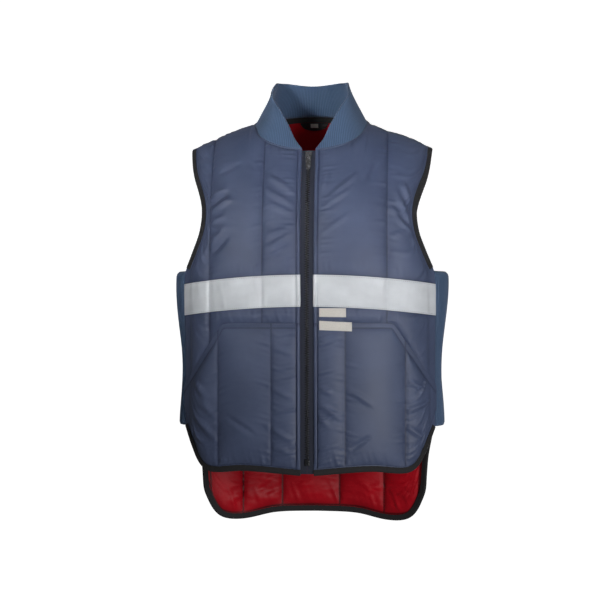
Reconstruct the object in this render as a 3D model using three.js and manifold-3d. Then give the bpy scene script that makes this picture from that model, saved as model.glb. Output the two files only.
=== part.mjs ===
// Insulated work vest: a quilted body warmer with a rib-knit collar and side inserts, in its worn form.
// Millimetres, +Z up, -Y is the front, +X is to the right of someone who looks at the front.
// The origin is midway between the two side-neck points, where the vest sits on the shoulders.
// Every panel is a grid of points on one base surface, its shell outside that surface and its lining inside.
import * as THREE from "three";
import { mergeVertices } from "three/addons/utils/BufferGeometryUtils.js";
import Module from "manifold-3d";

const wasm = await Module();
wasm.setup();

// Torso form: half width, and depth of the front and of the back from the middle plane.
const TORSO = [
  { z: -670, half: 208, front: 112, back: 118 },
  { z: -560, half: 212, front: 112, back: 118 },
  { z: -490, half: 215, front: 115, back: 118 },
  { z: -370, half: 212, front: 118, back: 111 },
  { z: -250, half: 222, front: 122, back: 122 },
  { z: -150, half: 208, front: 112, back: 125 },
  { z: -60, half: 201, front: 85, back: 112 },
  { z: 40, half: 199, front: 60, back: 80 },
];
const RING_POWER = 0.8; // squares the torso's section a little

// Neckline and shoulder line.
const NECK = { half: 92, front: 72, back: 66, frontDrop: 48, backRise: 26, frontPower: 0.6 };
const SHOULDER_TIP = { x: 197.5, y: 5, z: -38 };
const SHOULDER_BEND = 1.1;
const ROLL = { neckFront: 45, full: 100 }; // height over which a panel rolls over to its top edge
const ROLL_POWER = { neckFront: 1.25, full: 2 };

// Side edge of the fronts and of the back: armhole above, side seam below, tail vent on the back.
const FRONT_SIDE = [
  { z: -262, x: 201 },
  { z: -240, x: 199 },
  { z: -228, x: 194 },
  { z: -206, x: 185 },
  { z: -179, x: 175 },
  { z: -145, x: 171 },
  { z: -120, x: 176 },
  { z: -81, x: 190 },
  { z: -38, x: 197.5 },
];
const TAIL_SIDE = [
  { z: -608, x: 187 },
  { z: -550, x: 191 },
  { z: -493, x: 200 },
];

// Hems: height of the lower edge at each distance from the middle.
const FRONT_HEM = [
  { x: 0, z: -564 },
  { x: 100, z: -557 },
  { x: 158, z: -561 },
  { x: 176, z: -549 },
  { x: 189, z: -522 },
  { x: 201, z: -491 },
];
const TAIL_HEM = [
  { x: 0, z: -649 },
  { x: 70, z: -651 },
  { x: 123, z: -661 },
  { x: 158, z: -657 },
  { x: 174, z: -640 },
  { x: 187, z: -608 },
];

// Columns of the panels: the stitched quilt lines, and the other places where a column of points stands.
const PLACKET = { edge: 10.7, crest: 13.7, stitch: 17, crestLift: 1.6 };
const FRONTS = [
  { side: "left", sign: -1, quilt: [71, 157], pocketQuilt: [56, 142], between: [36, 92, 114] },
  { side: "right", sign: 1, quilt: [125], pocketQuilt: [60, 153], between: [40, 76, 92, 108] },
];
const BACK_QUILT = [-125, -58, 41, 118];
const BACK_BETWEEN = [-92, -75, -33, -11, 11, 26, 66, 92];
const SEAM_WIDTH = 10; // flat margin along a bound or seamed edge
const SEAM_GAP = 0.5; // between the edges of two pieces that are sewn together
const SHOULDER_GAP = 1.5; // wider, because the padded edges lean together there

// Padding.
const LAYER_GAP = 0.3; // between the shell and the lining
const SHELL = { edge: 1.2, padding: 5.5 };
const LINING = { edge: 1.2, padding: 1.6 };
const POCKET_PATCH = { edge: 1.2, padding: 4.5, gap: 0.4 };
const PUFF_POWER = 0.6; // below 1 makes a quilted channel full-bodied
const PUFF_WIDTH = 60; // a channel narrower than this is less padded

// Chest tape, pockets and armholes.
const CHEST_TAPE = { middle: -272.5, sag: 14, height: 50, thick: 1, gap: 0.4 };
const POCKET = { top: -324, slantStart: 135, slantEnd: 198, slantDrop: 96 };
const ARMHOLE_BASE = { middle: -232, sag: 8 };
const VENT_TOP = -493;
const CHEST_EASE = 1.6; // crowds the rows of points towards the shoulder, where the panel bends most

// Rib-knit collar: height and inward lean of the wall by angle round the neck, 0 at the front.
const COLLAR = [
  { angle: 6, height: 3, lean: 0 },
  { angle: 15, height: 17, lean: 4 },
  { angle: 25, height: 40, lean: 8 },
  { angle: 45, height: 66, lean: 13 },
  { angle: 90, height: 68, lean: 33 },
  { angle: 135, height: 56, lean: 20 },
  { angle: 180, height: 46, lean: 14 },
];
const COLLAR_WALL = { seat: 3, thick: 5, rim: 3, bend: 1.4, lift: 2.3, rows: 4 };

// Rib-knit side inserts.
const RIB = { bottom: -490, top: -240, thick: 4.5, columns: 6, rows: 7, gap: 0.8 };

// Bindings: folded strip around an edge.
const BINDING = { wall: 0.9, clearance: 0.45, leg: 8.5, turn: 0.12 };

// Zip.
const ZIP_TAPE = { inner: 4.2, back: -1, front: 0.2 };
const ZIP_CHAIN = { half: 3.7, thick: 3, hemMargin: 16 };
const RETAINER = { half: 3.7, length: 11, thick: 4.4 };
const SLIDER = {
  fromTop: 3,
  length: 14,
  topHalf: 6,
  bottomHalf: 4.6,
  coreHalf: 3.4,
  plateLow: 0.8,
  plateHigh: 2.8,
  backLow: -3.4,
  backHigh: -1.6,
};
const ARCH = { low: -5, high: 5, wall: 1.5, clear: 2.9, half: 1.5 };
const TAB = { barY: 0.4, bar: 1.6, half: 4, window: 7, windowHalf: 2.3, length: 27, thick: 1.8, lift: 1.3 };

// Labels, all blank.
const LABEL_UPPER = { x0: 20, x1: 62, z0: -313.5, z1: -300, lift: 0.4, thick: 0.8 };
const LABEL_LOWER = { x0: 20, x1: 71, z0: -334, z1: -319.5, lift: 2.6, thick: 0.8 };
const NECK_TAPE = { half: 58, gap: 0.6, thick: 1 };
const NECK_LABEL = { half: 24, shoulder: 0.8, drop: 0.55, gap: 0.4, thick: 0.8 };
const SIZE_TAG = { half: 6.5, from: 0.12, to: 0.42, gap: 0.4, thick: 0.7 };

const COLOURS = {
  shell: { color: 0x4e586c, roughness: 0.5, metalness: 0 },
  lining: { color: 0xa51423, roughness: 0.45, metalness: 0 },
  rib: { color: 0x48607e, roughness: 0.95, metalness: 0 },
  binding: { color: 0x232327, roughness: 0.8, metalness: 0 },
  reflective: { color: 0xd7dad7, roughness: 0.35, metalness: 0.1 },
  zipTape: { color: 0x1b1c20, roughness: 0.9, metalness: 0 },
  zipPlastic: { color: 0x17181b, roughness: 0.4, metalness: 0 },
  zipMetal: { color: 0x2a2b2e, roughness: 0.35, metalness: 0.8 },
  label: { color: 0xd9d3c8, roughness: 0.8, metalness: 0 },
};

const { lerp, clamp, radToDeg } = THREE.MathUtils;

// Smooth curve through the rows of a table, as a function of the table's key column.
function curve(rows, key, column) {
  const sorted = [...rows].sort((a, b) => a[key] - b[key]);
  const last = sorted.length - 1;
  const slopes = sorted.map((row, i) => {
    const before = sorted[Math.max(i - 1, 0)];
    const after = sorted[Math.min(i + 1, last)];
    return (after[column] - before[column]) / (after[key] - before[key]);
  });
  return (at) => {
    const place = clamp(at, sorted[0][key], sorted[last][key]);
    const i = Math.max(0, sorted.findIndex((row) => row[key] >= place) - 1);
    const width = sorted[i + 1][key] - sorted[i][key];
    const f = (place - sorted[i][key]) / width;
    const from = (1 - f) ** 2 * (1 + 2 * f) * sorted[i][column];
    const to = f ** 2 * (3 - 2 * f) * sorted[i + 1][column];
    return from + to + width * f * (1 - f) * ((1 - f) * slopes[i] - f * slopes[i + 1]);
  };
}

const torsoHalf = curve(TORSO, "z", "half");
const torsoFront = curve(TORSO, "z", "front");
const torsoBack = curve(TORSO, "z", "back");
const frontSide = curve(FRONT_SIDE, "z", "x");
const backSide = curve([...TAIL_SIDE, ...FRONT_SIDE], "z", "x");
const frontHem = curve(FRONT_HEM, "x", "z");
const tailHem = curve(TAIL_HEM, "x", "z");
const collarHeight = curve(COLLAR, "angle", "height");
const collarLean = curve(COLLAR, "angle", "lean");

// Share of the torso's depth at a distance from its middle: 1 in the middle, 0 at the side.
function ringShare(x, z) {
  return Math.max(0, 1 - (x / torsoHalf(z)) ** 2) ** (RING_POWER / 2);
}

// Height and depth of the neckline or shoulder line; face is -1 for the front and 1 for the back.
function topEdge(x, face) {
  const across = Math.abs(x);
  if (across < NECK.half) {
    const round = Math.sqrt(1 - (across / NECK.half) ** 2);
    return face < 0
      ? { y: -NECK.front * round ** NECK.frontPower, z: -NECK.frontDrop * round }
      : { y: NECK.back * round, z: NECK.backRise * round };
  }
  const f = (across - NECK.half) / (SHOULDER_TIP.x - NECK.half);
  return { y: SHOULDER_TIP.y * f, z: SHOULDER_TIP.z * f ** SHOULDER_BEND };
}

// Depth of the base surface: the torso's ring, rolled over to the neckline and the shoulder line.
function panelY(x, z, face) {
  const edge = topEdge(x, face);
  const depth = face < 0 ? torsoFront(z) : torsoBack(z);
  const sideways = face < 0 ? Math.min(1, Math.abs(x) / NECK.half) : 1;
  const roll = lerp(ROLL.neckFront, ROLL.full, sideways);
  const power = lerp(ROLL_POWER.neckFront, ROLL_POWER.full, sideways);
  const near = clamp(1 - (edge.z - z) / roll, 0, 1);
  const away = (1 - near ** power) ** (1 / power);
  return lerp(edge.y + (face * SHOULDER_GAP) / 2, face * depth * ringShare(x, z), away);
}

// Height of a row that stays a seam's width above a sloping hem.
function aboveHem(hem) {
  const step = 1;
  return (x) => {
    const slope = (hem(Math.abs(x)) - hem(Math.abs(x) - step)) / step;
    return hem(Math.abs(x)) + SEAM_WIDTH * Math.hypot(1, slope);
  };
}

// A line that sags towards the sides of the vest.
function sagging(middle, sag) {
  return (x) => middle - sag * (x / FRONT_SIDE[0].x) ** 2;
}

function pocketTop(x) {
  const along = (Math.abs(x) - POCKET.slantStart) / (POCKET.slantEnd - POCKET.slantStart);
  return POCKET.top - POCKET.slantDrop * Math.max(0, along);
}

// Bands of rows from the hem upwards: the upper edge, the rows, and the padding within and on that edge.
// The padding of the row just below the upper edge is given where it differs.
const TAPE_HALF = CHEST_TAPE.height / 2;
const tapeLow = sagging(CHEST_TAPE.middle - TAPE_HALF, CHEST_TAPE.sag);
const tapeHigh = sagging(CHEST_TAPE.middle + TAPE_HALF, CHEST_TAPE.sag);
const armholeBase = sagging(ARMHOLE_BASE.middle, ARMHOLE_BASE.sag);
const FRONT_BANDS = [
  { name: "hem", to: aboveHem(frontHem), rows: 1, padding: 0, edge: 0 },
  { name: "pocket", to: pocketTop, rows: 4, padding: 0.2, edge: 0.2 },
  { name: "waist", to: tapeLow, rows: 2, padding: 0.7, edge: 0.3 },
  { name: "tape", to: tapeHigh, rows: 2, padding: 0.3, edge: 0.3 },
  { name: "armpit", to: armholeBase, rows: 1, padding: 1, edge: 1 },
  { name: "chest", to: (x) => topEdge(x, -1).z, rows: 8, padding: 1, below: 0.1, edge: 0, ease: CHEST_EASE },
];
const BACK_BANDS = [
  { name: "hem", to: aboveHem(tailHem), rows: 1, padding: 0, edge: 0 },
  { name: "tail", to: sagging(VENT_TOP, 0), rows: 4, padding: 0.8, edge: 1 },
  { name: "waist", to: armholeBase, rows: 5, padding: 1, edge: 1 },
  { name: "yoke", to: (x) => topEdge(x, 1).z, rows: 8, padding: 1, below: 0.35, edge: 0, ease: CHEST_EASE },
];

// Rows of a panel, each with its height as a function of x and its share of the padding.
function panelRows(hem, bands) {
  const rows = [{ z: (x) => hem(Math.abs(x)), padding: 0 }];
  bands.forEach((band) => {
    const low = rows[rows.length - 1].z;
    for (let k = 1; k <= band.rows; k += 1) {
      const share = 1 - (1 - k / band.rows) ** (band.ease ?? 1);
      const below = k === band.rows - 1 ? (band.below ?? band.padding) : band.padding;
      rows.push({ z: (x) => lerp(low(x), band.to(x), share), padding: k < band.rows ? below : band.edge });
    }
  });
  return rows;
}

// Number of the row that is a band's upper edge.
function rowAt(bands, name) {
  const end = bands.findIndex((band) => band.name === name) + 1;
  return bands.slice(0, end).reduce((sum, band) => sum + band.rows, 0);
}

// Columns that run from the last quilt line to the side edge; x of a column depends on the height.
function sideColumns(from, side, sign) {
  return [
    { x: (z) => sign * (from + side(z) - SEAM_WIDTH) * 0.5, margin: false },
    { x: (z) => sign * (side(z) - SEAM_WIDTH), margin: true },
    { x: (z) => sign * side(z), margin: true },
  ];
}

// Columns at fixed distances from the middle, ordered outwards from it or from left to right.
function fixedColumns(places, sign = 1) {
  const ordered = [...places].sort((a, b) => a - b).map((place) => sign * place);
  return ordered.map((place) => ({ x: () => place, margin: false, place }));
}

// Share of the full padding between two stitch lines, 0 on a line and up to 1 midway.
function puff(x, lines) {
  const next = lines.findIndex((line) => line > x);
  if (next <= 0) return 0;
  const width = lines[next] - lines[next - 1];
  const f = (x - lines[next - 1]) / width;
  return Math.sin(Math.PI * f) ** PUFF_POWER * Math.min(1, width / PUFF_WIDTH);
}

// Normals of a grid of points from the differences to its neighbours, on the outer side.
function gridNormals(points, outward) {
  const columns = points.length - 1;
  const rows = points[0].length - 1;
  return points.map((column, i) =>
    column.map((_, j) => {
      const along = points[Math.min(i + 1, columns)][j].clone().sub(points[Math.max(i - 1, 0)][j]);
      const up = column[Math.min(j + 1, rows)].clone().sub(column[Math.max(j - 1, 0)]);
      return along.cross(up).normalize().multiplyScalar(outward);
    }),
  );
}

// A panel: the grid of base points, their normals, and each point's share of the padding.
function makePanel({ columns, rows, linesAt, face, outward }) {
  const settle = 24;
  const points = columns.map((column) =>
    rows.map((row) => {
      let z = row.z(column.x(VENT_TOP));
      for (let k = 0; k < settle; k += 1) z = row.z(column.x(z));
      const x = column.x(z);
      return new THREE.Vector3(x, panelY(x, z, face), z);
    }),
  );
  const padding = columns.map((column, i) =>
    rows.map((row, j) => {
      const { x, z } = points[i][j];
      return column.margin ? 0 : row.padding * puff(face < 0 ? Math.abs(x) : x, linesAt(z));
    }),
  );
  return { columns, rows, points, normals: gridNormals(points, outward), padding };
}

// The panel's points moved out along their normals by a distance worked out for each point.
function offsetGrid(panel, distance) {
  return panel.points.map((column, i) =>
    column.map((point, j) => point.clone().addScaledVector(panel.normals[i][j], distance(i, j))),
  );
}

// The part of a grid between two columns and two rows.
function subGrid(grid, i0, i1, j0, j1) {
  return grid.slice(i0, i1 + 1).map((column) => column.slice(j0, j1 + 1));
}

// A point between the points of a grid, at a fractional column and row.
function between(grid, u, v) {
  const i = Math.min(Math.floor(u), grid.length - 2);
  const j = Math.min(Math.floor(v), grid[0].length - 2);
  const low = grid[i][j].clone().lerp(grid[i + 1][j], u - i);
  const high = grid[i][j + 1].clone().lerp(grid[i + 1][j + 1], u - i);
  return low.lerp(high, v - j);
}

// Fractional column of a panel at a distance from the middle, among its columns of fixed place.
function columnAt(panel, x) {
  const i = panel.columns.findIndex((column) => column.place > x) - 1;
  const here = panel.columns[i].place;
  return i + (x - here) / (panel.columns[i + 1].place - here);
}

// Fractional row of a grid at a height, along a fractional column, found by halving.
function rowAtHeight(grid, u, z) {
  const halvings = 40;
  let low = 0;
  let high = grid[0].length - 1;
  for (let k = 0; k < halvings; k += 1) {
    const middle = (low + high) / 2;
    if (between(grid, u, middle).z < z) low = middle;
    else high = middle;
  }
  return low;
}

// A mesh geometry of points and triangles, turned so that its faces point out.
function closed(points, faces) {
  const volume = faces.reduce((sum, _, k) => {
    if (k % 3) return sum;
    const [a, b, c] = [points[faces[k]], points[faces[k + 1]], points[faces[k + 2]]];
    return sum + a.dot(b.clone().cross(c));
  }, 0);
  const index = volume > 0 ? faces : faces.map((_, k) => faces[k - (k % 3) + 2 - (k % 3)]);
  const geometry = new THREE.BufferGeometry().setFromPoints(points);
  geometry.setIndex(index);
  return geometry;
}

// A closed solid between two grids of the same size. A turned cell is split along its other diagonal.
function slab(inner, outer, { turned = () => false } = {}) {
  const columns = inner.length;
  const rows = inner[0].length;
  const at = (layer, i, j) => (layer * columns + i) * rows + j;
  const faces = [];
  const quad = (a, b, c, d) => faces.push(a, b, c, a, c, d);
  const cell = (other, a, b, c, d) => (other ? quad(b, c, d, a) : quad(a, b, c, d));
  const steps = columns - 1;
  for (let i = 0; i < steps; i += 1) {
    for (let j = 0; j < rows - 1; j += 1) {
      const other = turned(i, j);
      cell(other, at(1, i, j), at(1, i + 1, j), at(1, i + 1, j + 1), at(1, i, j + 1));
      cell(other, at(0, i, j), at(0, i, j + 1), at(0, i + 1, j + 1), at(0, i + 1, j));
    }
    quad(at(0, i, 0), at(0, i + 1, 0), at(1, i + 1, 0), at(1, i, 0));
    quad(at(1, i, rows - 1), at(1, i + 1, rows - 1), at(0, i + 1, rows - 1), at(0, i, rows - 1));
  }
  for (let j = 0; j < rows - 1; j += 1) {
    quad(at(1, 0, j), at(1, 0, j + 1), at(0, 0, j + 1), at(0, 0, j));
    quad(at(0, steps, j), at(0, steps, j + 1), at(1, steps, j + 1), at(1, steps, j));
  }
  return closed([...inner.flat(), ...outer.flat()], faces);
}

const vest = new THREE.Group();

function addMesh(name, geometry, finish, parent = vest) {
  const mesh = new THREE.Mesh(geometry, new THREE.MeshStandardMaterial(COLOURS[finish]));
  mesh.name = name;
  parent.add(mesh);
  return mesh;
}

// Distances of the layers from the base surface.
const HALF_GAP = LAYER_GAP / 2;
const EDGE_OUT = HALF_GAP + SHELL.edge;
const EDGE_IN = -HALF_GAP - LINING.edge;

// Shell and lining of a panel; lift raises single columns of the shell, such as a placket's crest.
function dressPanel(panel, names, { lift = () => 0, turned } = {}) {
  const low = offsetGrid(panel, () => HALF_GAP);
  const high = offsetGrid(panel, (i, j) => EDGE_OUT + SHELL.padding * panel.padding[i][j] + lift(i, j));
  const face = offsetGrid(panel, () => -HALF_GAP);
  const inside = offsetGrid(panel, (i, j) => EDGE_IN - LINING.padding * panel.padding[i][j]);
  addMesh(names.shell, slab(low, high, { turned }), "shell");
  addMesh(names.lining, slab(inside, face, { turned }), "lining");
  return { high, inside };
}

// Cross-section of a folded strip that holds an edge: four points of its channel and four of its outside.
function bindingSection({ edge, edgeNormal, inner, innerNormal }) {
  const inward = inner.clone().sub(edge);
  const share = BINDING.leg / inward.length();
  const tip = edge.clone().addScaledVector(inward, share);
  const tipNormal = edgeNormal.clone().lerp(innerNormal, share).normalize();
  inward.normalize();
  const layer = (height, beyond) => {
    const fold = edge.clone().addScaledVector(inward, -beyond);
    return [
      tip.clone().addScaledVector(tipNormal, height),
      fold.clone().addScaledVector(edgeNormal, height),
      fold.clone().addScaledVector(edgeNormal, -height),
      tip.clone().addScaledVector(tipNormal, -height),
    ];
  };
  const room = EDGE_OUT + BINDING.clearance;
  return {
    channel: layer(room, BINDING.clearance),
    outside: layer(room + BINDING.wall, BINDING.clearance + BINDING.wall),
  };
}

function addBinding(name, stations) {
  const sections = stations.map(bindingSection);
  const channel = sections.map((section) => section.channel);
  const outside = sections.map((section) => section.outside);
  const innerLeg = 2;
  addMesh(name, slab(channel, outside, { turned: (_, k) => k === innerLeg }), "binding");
}

// One station of a binding: a place on a grid's edge and a place inwards of it, by column and row.
function station({ points, normals }, u, v, inU, inV) {
  return {
    edge: between(points, u, v),
    edgeNormal: between(normals, u, v).normalize(),
    inner: between(points, inU, inV),
    innerNormal: between(normals, inU, inV).normalize(),
  };
}

// Whole numbers from a first to a last, up or down.
function count(first, last) {
  const step = Math.sign(last - first) || 1;
  return Array.from({ length: Math.abs(last - first) + 1 }, (_, k) => first + k * step);
}

const FRONT_POCKET_ROW = rowAt(FRONT_BANDS, "pocket");
const FRONT_TAPE_ROW = rowAt(FRONT_BANDS, "tape");
const FRONT_ARM_ROW = rowAt(FRONT_BANDS, "armpit");
const FRONT_TOP_ROW = rowAt(FRONT_BANDS, "chest");
const STITCH_COLUMN = 2; // the placket's edge and crest come before it

// Fronts with their pockets and chest tape.
function addFront({ side, sign, quilt, pocketQuilt, between: extra }) {
  const places = [PLACKET.edge, PLACKET.crest, PLACKET.stitch, ...extra, ...quilt, ...pocketQuilt];
  const outermost = Math.max(...places);
  const columns = [...fixedColumns(places, sign), ...sideColumns(outermost, frontSide, sign)];
  const linesAt = (lines) => (z) => [PLACKET.stitch, ...lines, frontSide(z) - SEAM_WIDTH];
  const panel = makePanel({
    columns,
    rows: panelRows(frontHem, FRONT_BANDS),
    linesAt: linesAt(quilt),
    face: -1,
    outward: sign,
  });
  const layers = dressPanel(
    panel,
    { shell: `front_shell_${side}`, lining: `front_lining_${side}` },
    { lift: (i, j) => (i === 1 && j > 1 && j < FRONT_TOP_ROW ? PLACKET.crestLift : 0) },
  );
  const last = columns.length - 1;

  const pocketBase = subGrid(layers.high, STITCH_COLUMN, last, 1, FRONT_POCKET_ROW);
  const pocketNormal = subGrid(panel.normals, STITCH_COLUMN, last, 1, FRONT_POCKET_ROW);
  const pocketLayer = (height) =>
    pocketBase.map((column, i) =>
      column.map((point, j) => point.clone().addScaledVector(pocketNormal[i][j], height(point, i, j))),
    );
  const pocketRows = FRONT_POCKET_ROW - 1;
  const pocketPuff = (point, i, j) => {
    const inside = j > 0 && j < pocketRows && i < last - STITCH_COLUMN;
    return inside ? puff(Math.abs(point.x), linesAt(pocketQuilt)(point.z)) : 0;
  };
  const pocketTopLayer = pocketLayer(
    (point, i, j) => POCKET_PATCH.gap + POCKET_PATCH.edge + POCKET_PATCH.padding * pocketPuff(point, i, j),
  );
  addMesh(`pocket_${side}`, slab(pocketLayer(() => POCKET_PATCH.gap), pocketTopLayer), "shell");

  const tapeLayer = (height) =>
    subGrid(
      layers.high.map((column, i) =>
        column.map((point, j) => point.clone().addScaledVector(panel.normals[i][j], height)),
      ),
      0,
      last,
      FRONT_TAPE_ROW - 2,
      FRONT_TAPE_ROW,
    );
  addMesh(
    `reflective_tape_${side}`,
    slab(tapeLayer(CHEST_TAPE.gap), tapeLayer(CHEST_TAPE.gap + CHEST_TAPE.thick)),
    "reflective",
  );

  addBinding(
    `front_hem_binding_${side}`,
    count(0, last).map((i) => station(panel, i, 0, i, 1)),
  );
  return { panel, layers, last };
}

// Back with its tail.
const BACK_VENT_ROW = rowAt(BACK_BANDS, "tail");
const BACK_ARM_ROW = rowAt(BACK_BANDS, "waist");
const BACK_TOP_ROW = rowAt(BACK_BANDS, "yoke");

function addBack() {
  const columns = [
    ...sideColumns(-BACK_QUILT[0], backSide, -1).reverse(),
    ...fixedColumns([...BACK_QUILT, ...BACK_BETWEEN]),
    ...sideColumns(BACK_QUILT[BACK_QUILT.length - 1], backSide, 1),
  ];
  const panel = makePanel({
    columns,
    rows: panelRows(tailHem, BACK_BANDS),
    linesAt: (z) => [SEAM_WIDTH - backSide(z), ...BACK_QUILT, backSide(z) - SEAM_WIDTH],
    face: 1,
    outward: -1,
  });
  const last = columns.length - 1;
  const names = { shell: "back_shell", lining: "back_lining" };
  const layers = dressPanel(panel, names, { turned: (i) => i >= last / 2 });
  const leftVent = count(BACK_VENT_ROW, 1).map((j) => station(panel, 0, j, 1, j));
  const rightVent = count(1, BACK_VENT_ROW).map((j) => station(panel, last, j, last - 1, j));
  const hem = count(1, last - 1).map((i) => station(panel, i, 0, i, 1));
  const corners = [station(panel, 0, 0, 1, 1), station(panel, last, 0, last - 1, 1)];
  addBinding("tail_binding", [...leftVent, corners[0], ...hem, corners[1], ...rightVent]);
  return { panel, layers, last };
}

// Rib insert between the side edges of a front and of the back, bulging out to the torso's half width.
function addRib(side, sign) {
  const heights = count(0, RIB.rows).map((k) => lerp(RIB.bottom, RIB.top, k / RIB.rows));
  const points = count(0, RIB.columns).map((k) =>
    heights.map((z) => {
      const half = torsoHalf(z);
      const margin = RIB.gap / torsoFront(z);
      const front = -Math.acos(frontSide(z) / half) + margin;
      const back = Math.acos(backSide(z) / half) - margin;
      const turn = lerp(front, back, k / RIB.columns);
      const depth = turn < 0 ? torsoFront(z) : torsoBack(z);
      const y = Math.sign(turn) * depth * Math.abs(Math.sin(turn)) ** RING_POWER;
      return new THREE.Vector3(sign * half * Math.cos(turn), y, z);
    }),
  );
  const panel = { points, normals: gridNormals(points, sign) };
  const thick = (i) => (i === 0 || i === RIB.columns ? EDGE_OUT : RIB.thick / 2);
  addMesh(
    `side_rib_${side}`,
    slab(
      offsetGrid(panel, (i) => -thick(i)),
      offsetGrid(panel, thick),
    ),
    "rib",
  );
}

// Binding of an armhole: up the front's edge and down the back's edge. The rib insert's top edge is bare.
function addArmholeBinding(side, front, back) {
  const backEdge = side === "left" ? 0 : back.last;
  const backInner = side === "left" ? 1 : back.last - 1;
  const frontRows = [FRONT_ARM_ROW + BINDING.turn, ...count(FRONT_ARM_ROW + 1, FRONT_TOP_ROW)];
  const backRows = [...count(BACK_TOP_ROW, BACK_ARM_ROW + 1), BACK_ARM_ROW + BINDING.turn];
  const up = frontRows.map((j) => station(front.panel, front.last, j, front.last - 1, j));
  const down = backRows.map((j) => station(back.panel, backEdge, j, backInner, j));
  addBinding(`armhole_binding_${side}`, [...up, ...down]);
}

// Rib-knit stand collar round the neckline, open at the front.
function addCollar(left, right, back) {
  const justInside = 0.999999; // keeps the side-neck points on the neckline, short of the shoulder line
  const onNeck = (panel) => panel.columns.filter((column) => Math.abs(column.place) <= NECK.half);
  const frontAngle = (column) => Math.asin(column.place / NECK.half);
  const angles = [
    ...onNeck(left).map(frontAngle),
    ...onNeck(back)
      .slice(1, -1)
      .map((column) => Math.sign(column.place) * Math.PI - frontAngle(column)),
    ...onNeck(right).map(frontAngle).reverse(),
  ];
  const wall = (outerSide) =>
    angles.map((angle) =>
      count(0, COLLAR_WALL.rows).map((k) => {
        const v = k / COLLAR_WALL.rows;
        const degrees = Math.abs(radToDeg(angle));
        const face = degrees > 90 ? 1 : -1;
        const seat = topEdge(NECK.half * Math.sin(angle) * justInside, face);
        const out = new THREE.Vector3(NECK.half * Math.sin(angle), seat.y, 0).normalize();
        const full = v < 0.5 ? lerp(COLLAR_WALL.seat, COLLAR_WALL.thick, 2 * v) : COLLAR_WALL.thick;
        const thick = k === COLLAR_WALL.rows ? COLLAR_WALL.rim : full;
        const lean = collarLean(degrees) * (1 - (1 - v) ** COLLAR_WALL.bend);
        const z = seat.z + COLLAR_WALL.lift + collarHeight(degrees) * v;
        return new THREE.Vector3(NECK.half * Math.sin(angle), seat.y, z).addScaledVector(
          out,
          (outerSide * thick) / 2 - lean,
        );
      }),
    );
  addMesh("collar", slab(wall(-1), wall(1)), "rib");
}

// Zip: tapes, chain and retainer follow the placket edges, and the top stretch is straight for the slider.
const ZIP_SKIPPED = 2; // rows left out below the top, so that the slider sits on a flat stretch

function addZip(front) {
  const edge = front.panel.points[0];
  const spine = edge.filter((_, j) => j > 0 && (j < FRONT_TOP_ROW - ZIP_SKIPPED || j === FRONT_TOP_ROW));
  const outwardOf = (j) => {
    const before = spine[Math.max(j - 1, 0)];
    const after = spine[Math.min(j + 1, spine.length - 1)];
    return new THREE.Vector3(0, before.z - after.z, after.y - before.y).normalize();
  };
  const strip = (path, x0, x1, low, high) => {
    const layer = (height) =>
      [x0, x1].map((x) =>
        path.map(({ point, out }) => new THREE.Vector3(x, point.y, point.z).addScaledVector(out, height)),
      );
    return slab(layer(low), layer(high));
  };
  const path = spine.map((point, j) => ({ point, out: outwardOf(j) }));
  const outer = PLACKET.edge - SEAM_GAP;
  addMesh("zip_tape_left", strip(path, -outer, -ZIP_TAPE.inner, ZIP_TAPE.back, ZIP_TAPE.front), "zipTape");
  addMesh("zip_tape_right", strip(path, ZIP_TAPE.inner, outer, ZIP_TAPE.back, ZIP_TAPE.front), "zipTape");

  const top = spine[spine.length - 1];
  const below = spine[spine.length - 2];
  const stretch = top.distanceTo(below);
  const onStretch = (fromTop) => ({
    point: top.clone().lerp(below, fromTop / stretch),
    out: new THREE.Vector3(0, below.z - top.z, top.y - below.y).normalize(),
  });
  const foot = path[0];
  const knee = path[1];
  const rise = foot.point.distanceTo(knee.point);
  const onFoot = (fromFoot) => ({
    point: foot.point.clone().lerp(knee.point, fromFoot / rise),
    out: foot.out.clone().lerp(knee.out, fromFoot / rise),
  });
  const chainEnd = onStretch(SLIDER.fromTop + SLIDER.length + SEAM_GAP);
  const chainPath = [onFoot(ZIP_CHAIN.hemMargin), ...path.slice(1, -1), chainEnd];
  const half = ZIP_CHAIN.thick / 2;
  addMesh("zip_chain", strip(chainPath, -ZIP_CHAIN.half, ZIP_CHAIN.half, -half, half), "zipPlastic");
  const boxTop = ZIP_CHAIN.hemMargin - SEAM_GAP;
  const boxPath = [onFoot(boxTop - RETAINER.length), onFoot(boxTop)];
  const boxHalf = RETAINER.thick / 2;
  addMesh("zip_retainer", strip(boxPath, -RETAINER.half, RETAINER.half, -boxHalf, boxHalf), "zipPlastic");
  addSlider(onStretch(SLIDER.fromTop + SLIDER.length / 2), top.clone().sub(below));
}

// A solid that can be joined or cut, from a geometry.
function solidOf(geometry) {
  const bare = geometry.clone();
  bare.deleteAttribute("normal");
  bare.deleteAttribute("uv");
  const merged = mergeVertices(bare);
  return new wasm.Manifold(
    new wasm.Mesh({
      numProp: 3,
      vertProperties: new Float32Array(merged.attributes.position.array),
      triVerts: new Uint32Array(merged.index.array),
    }),
  );
}

function geometryOf(solid) {
  const { vertProperties, triVerts } = solid.getMesh();
  const geometry = new THREE.BufferGeometry();
  geometry.setAttribute("position", new THREE.BufferAttribute(vertProperties, 3));
  geometry.setIndex(new THREE.BufferAttribute(triVerts, 1));
  return geometry;
}

function plate(corners, low, high, hole) {
  const shape = new THREE.Shape(corners.map(([x, y]) => new THREE.Vector2(x, y)));
  if (hole) shape.holes.push(new THREE.Path(hole.map(([x, y]) => new THREE.Vector2(x, y))));
  return new THREE.ExtrudeGeometry(shape, { depth: high - low, bevelEnabled: false }).translate(0, 0, low);
}

function rectangle(x0, x1, y0, y1) {
  return [
    [x0, y0],
    [x1, y0],
    [x1, y1],
    [x0, y1],
  ];
}

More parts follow.
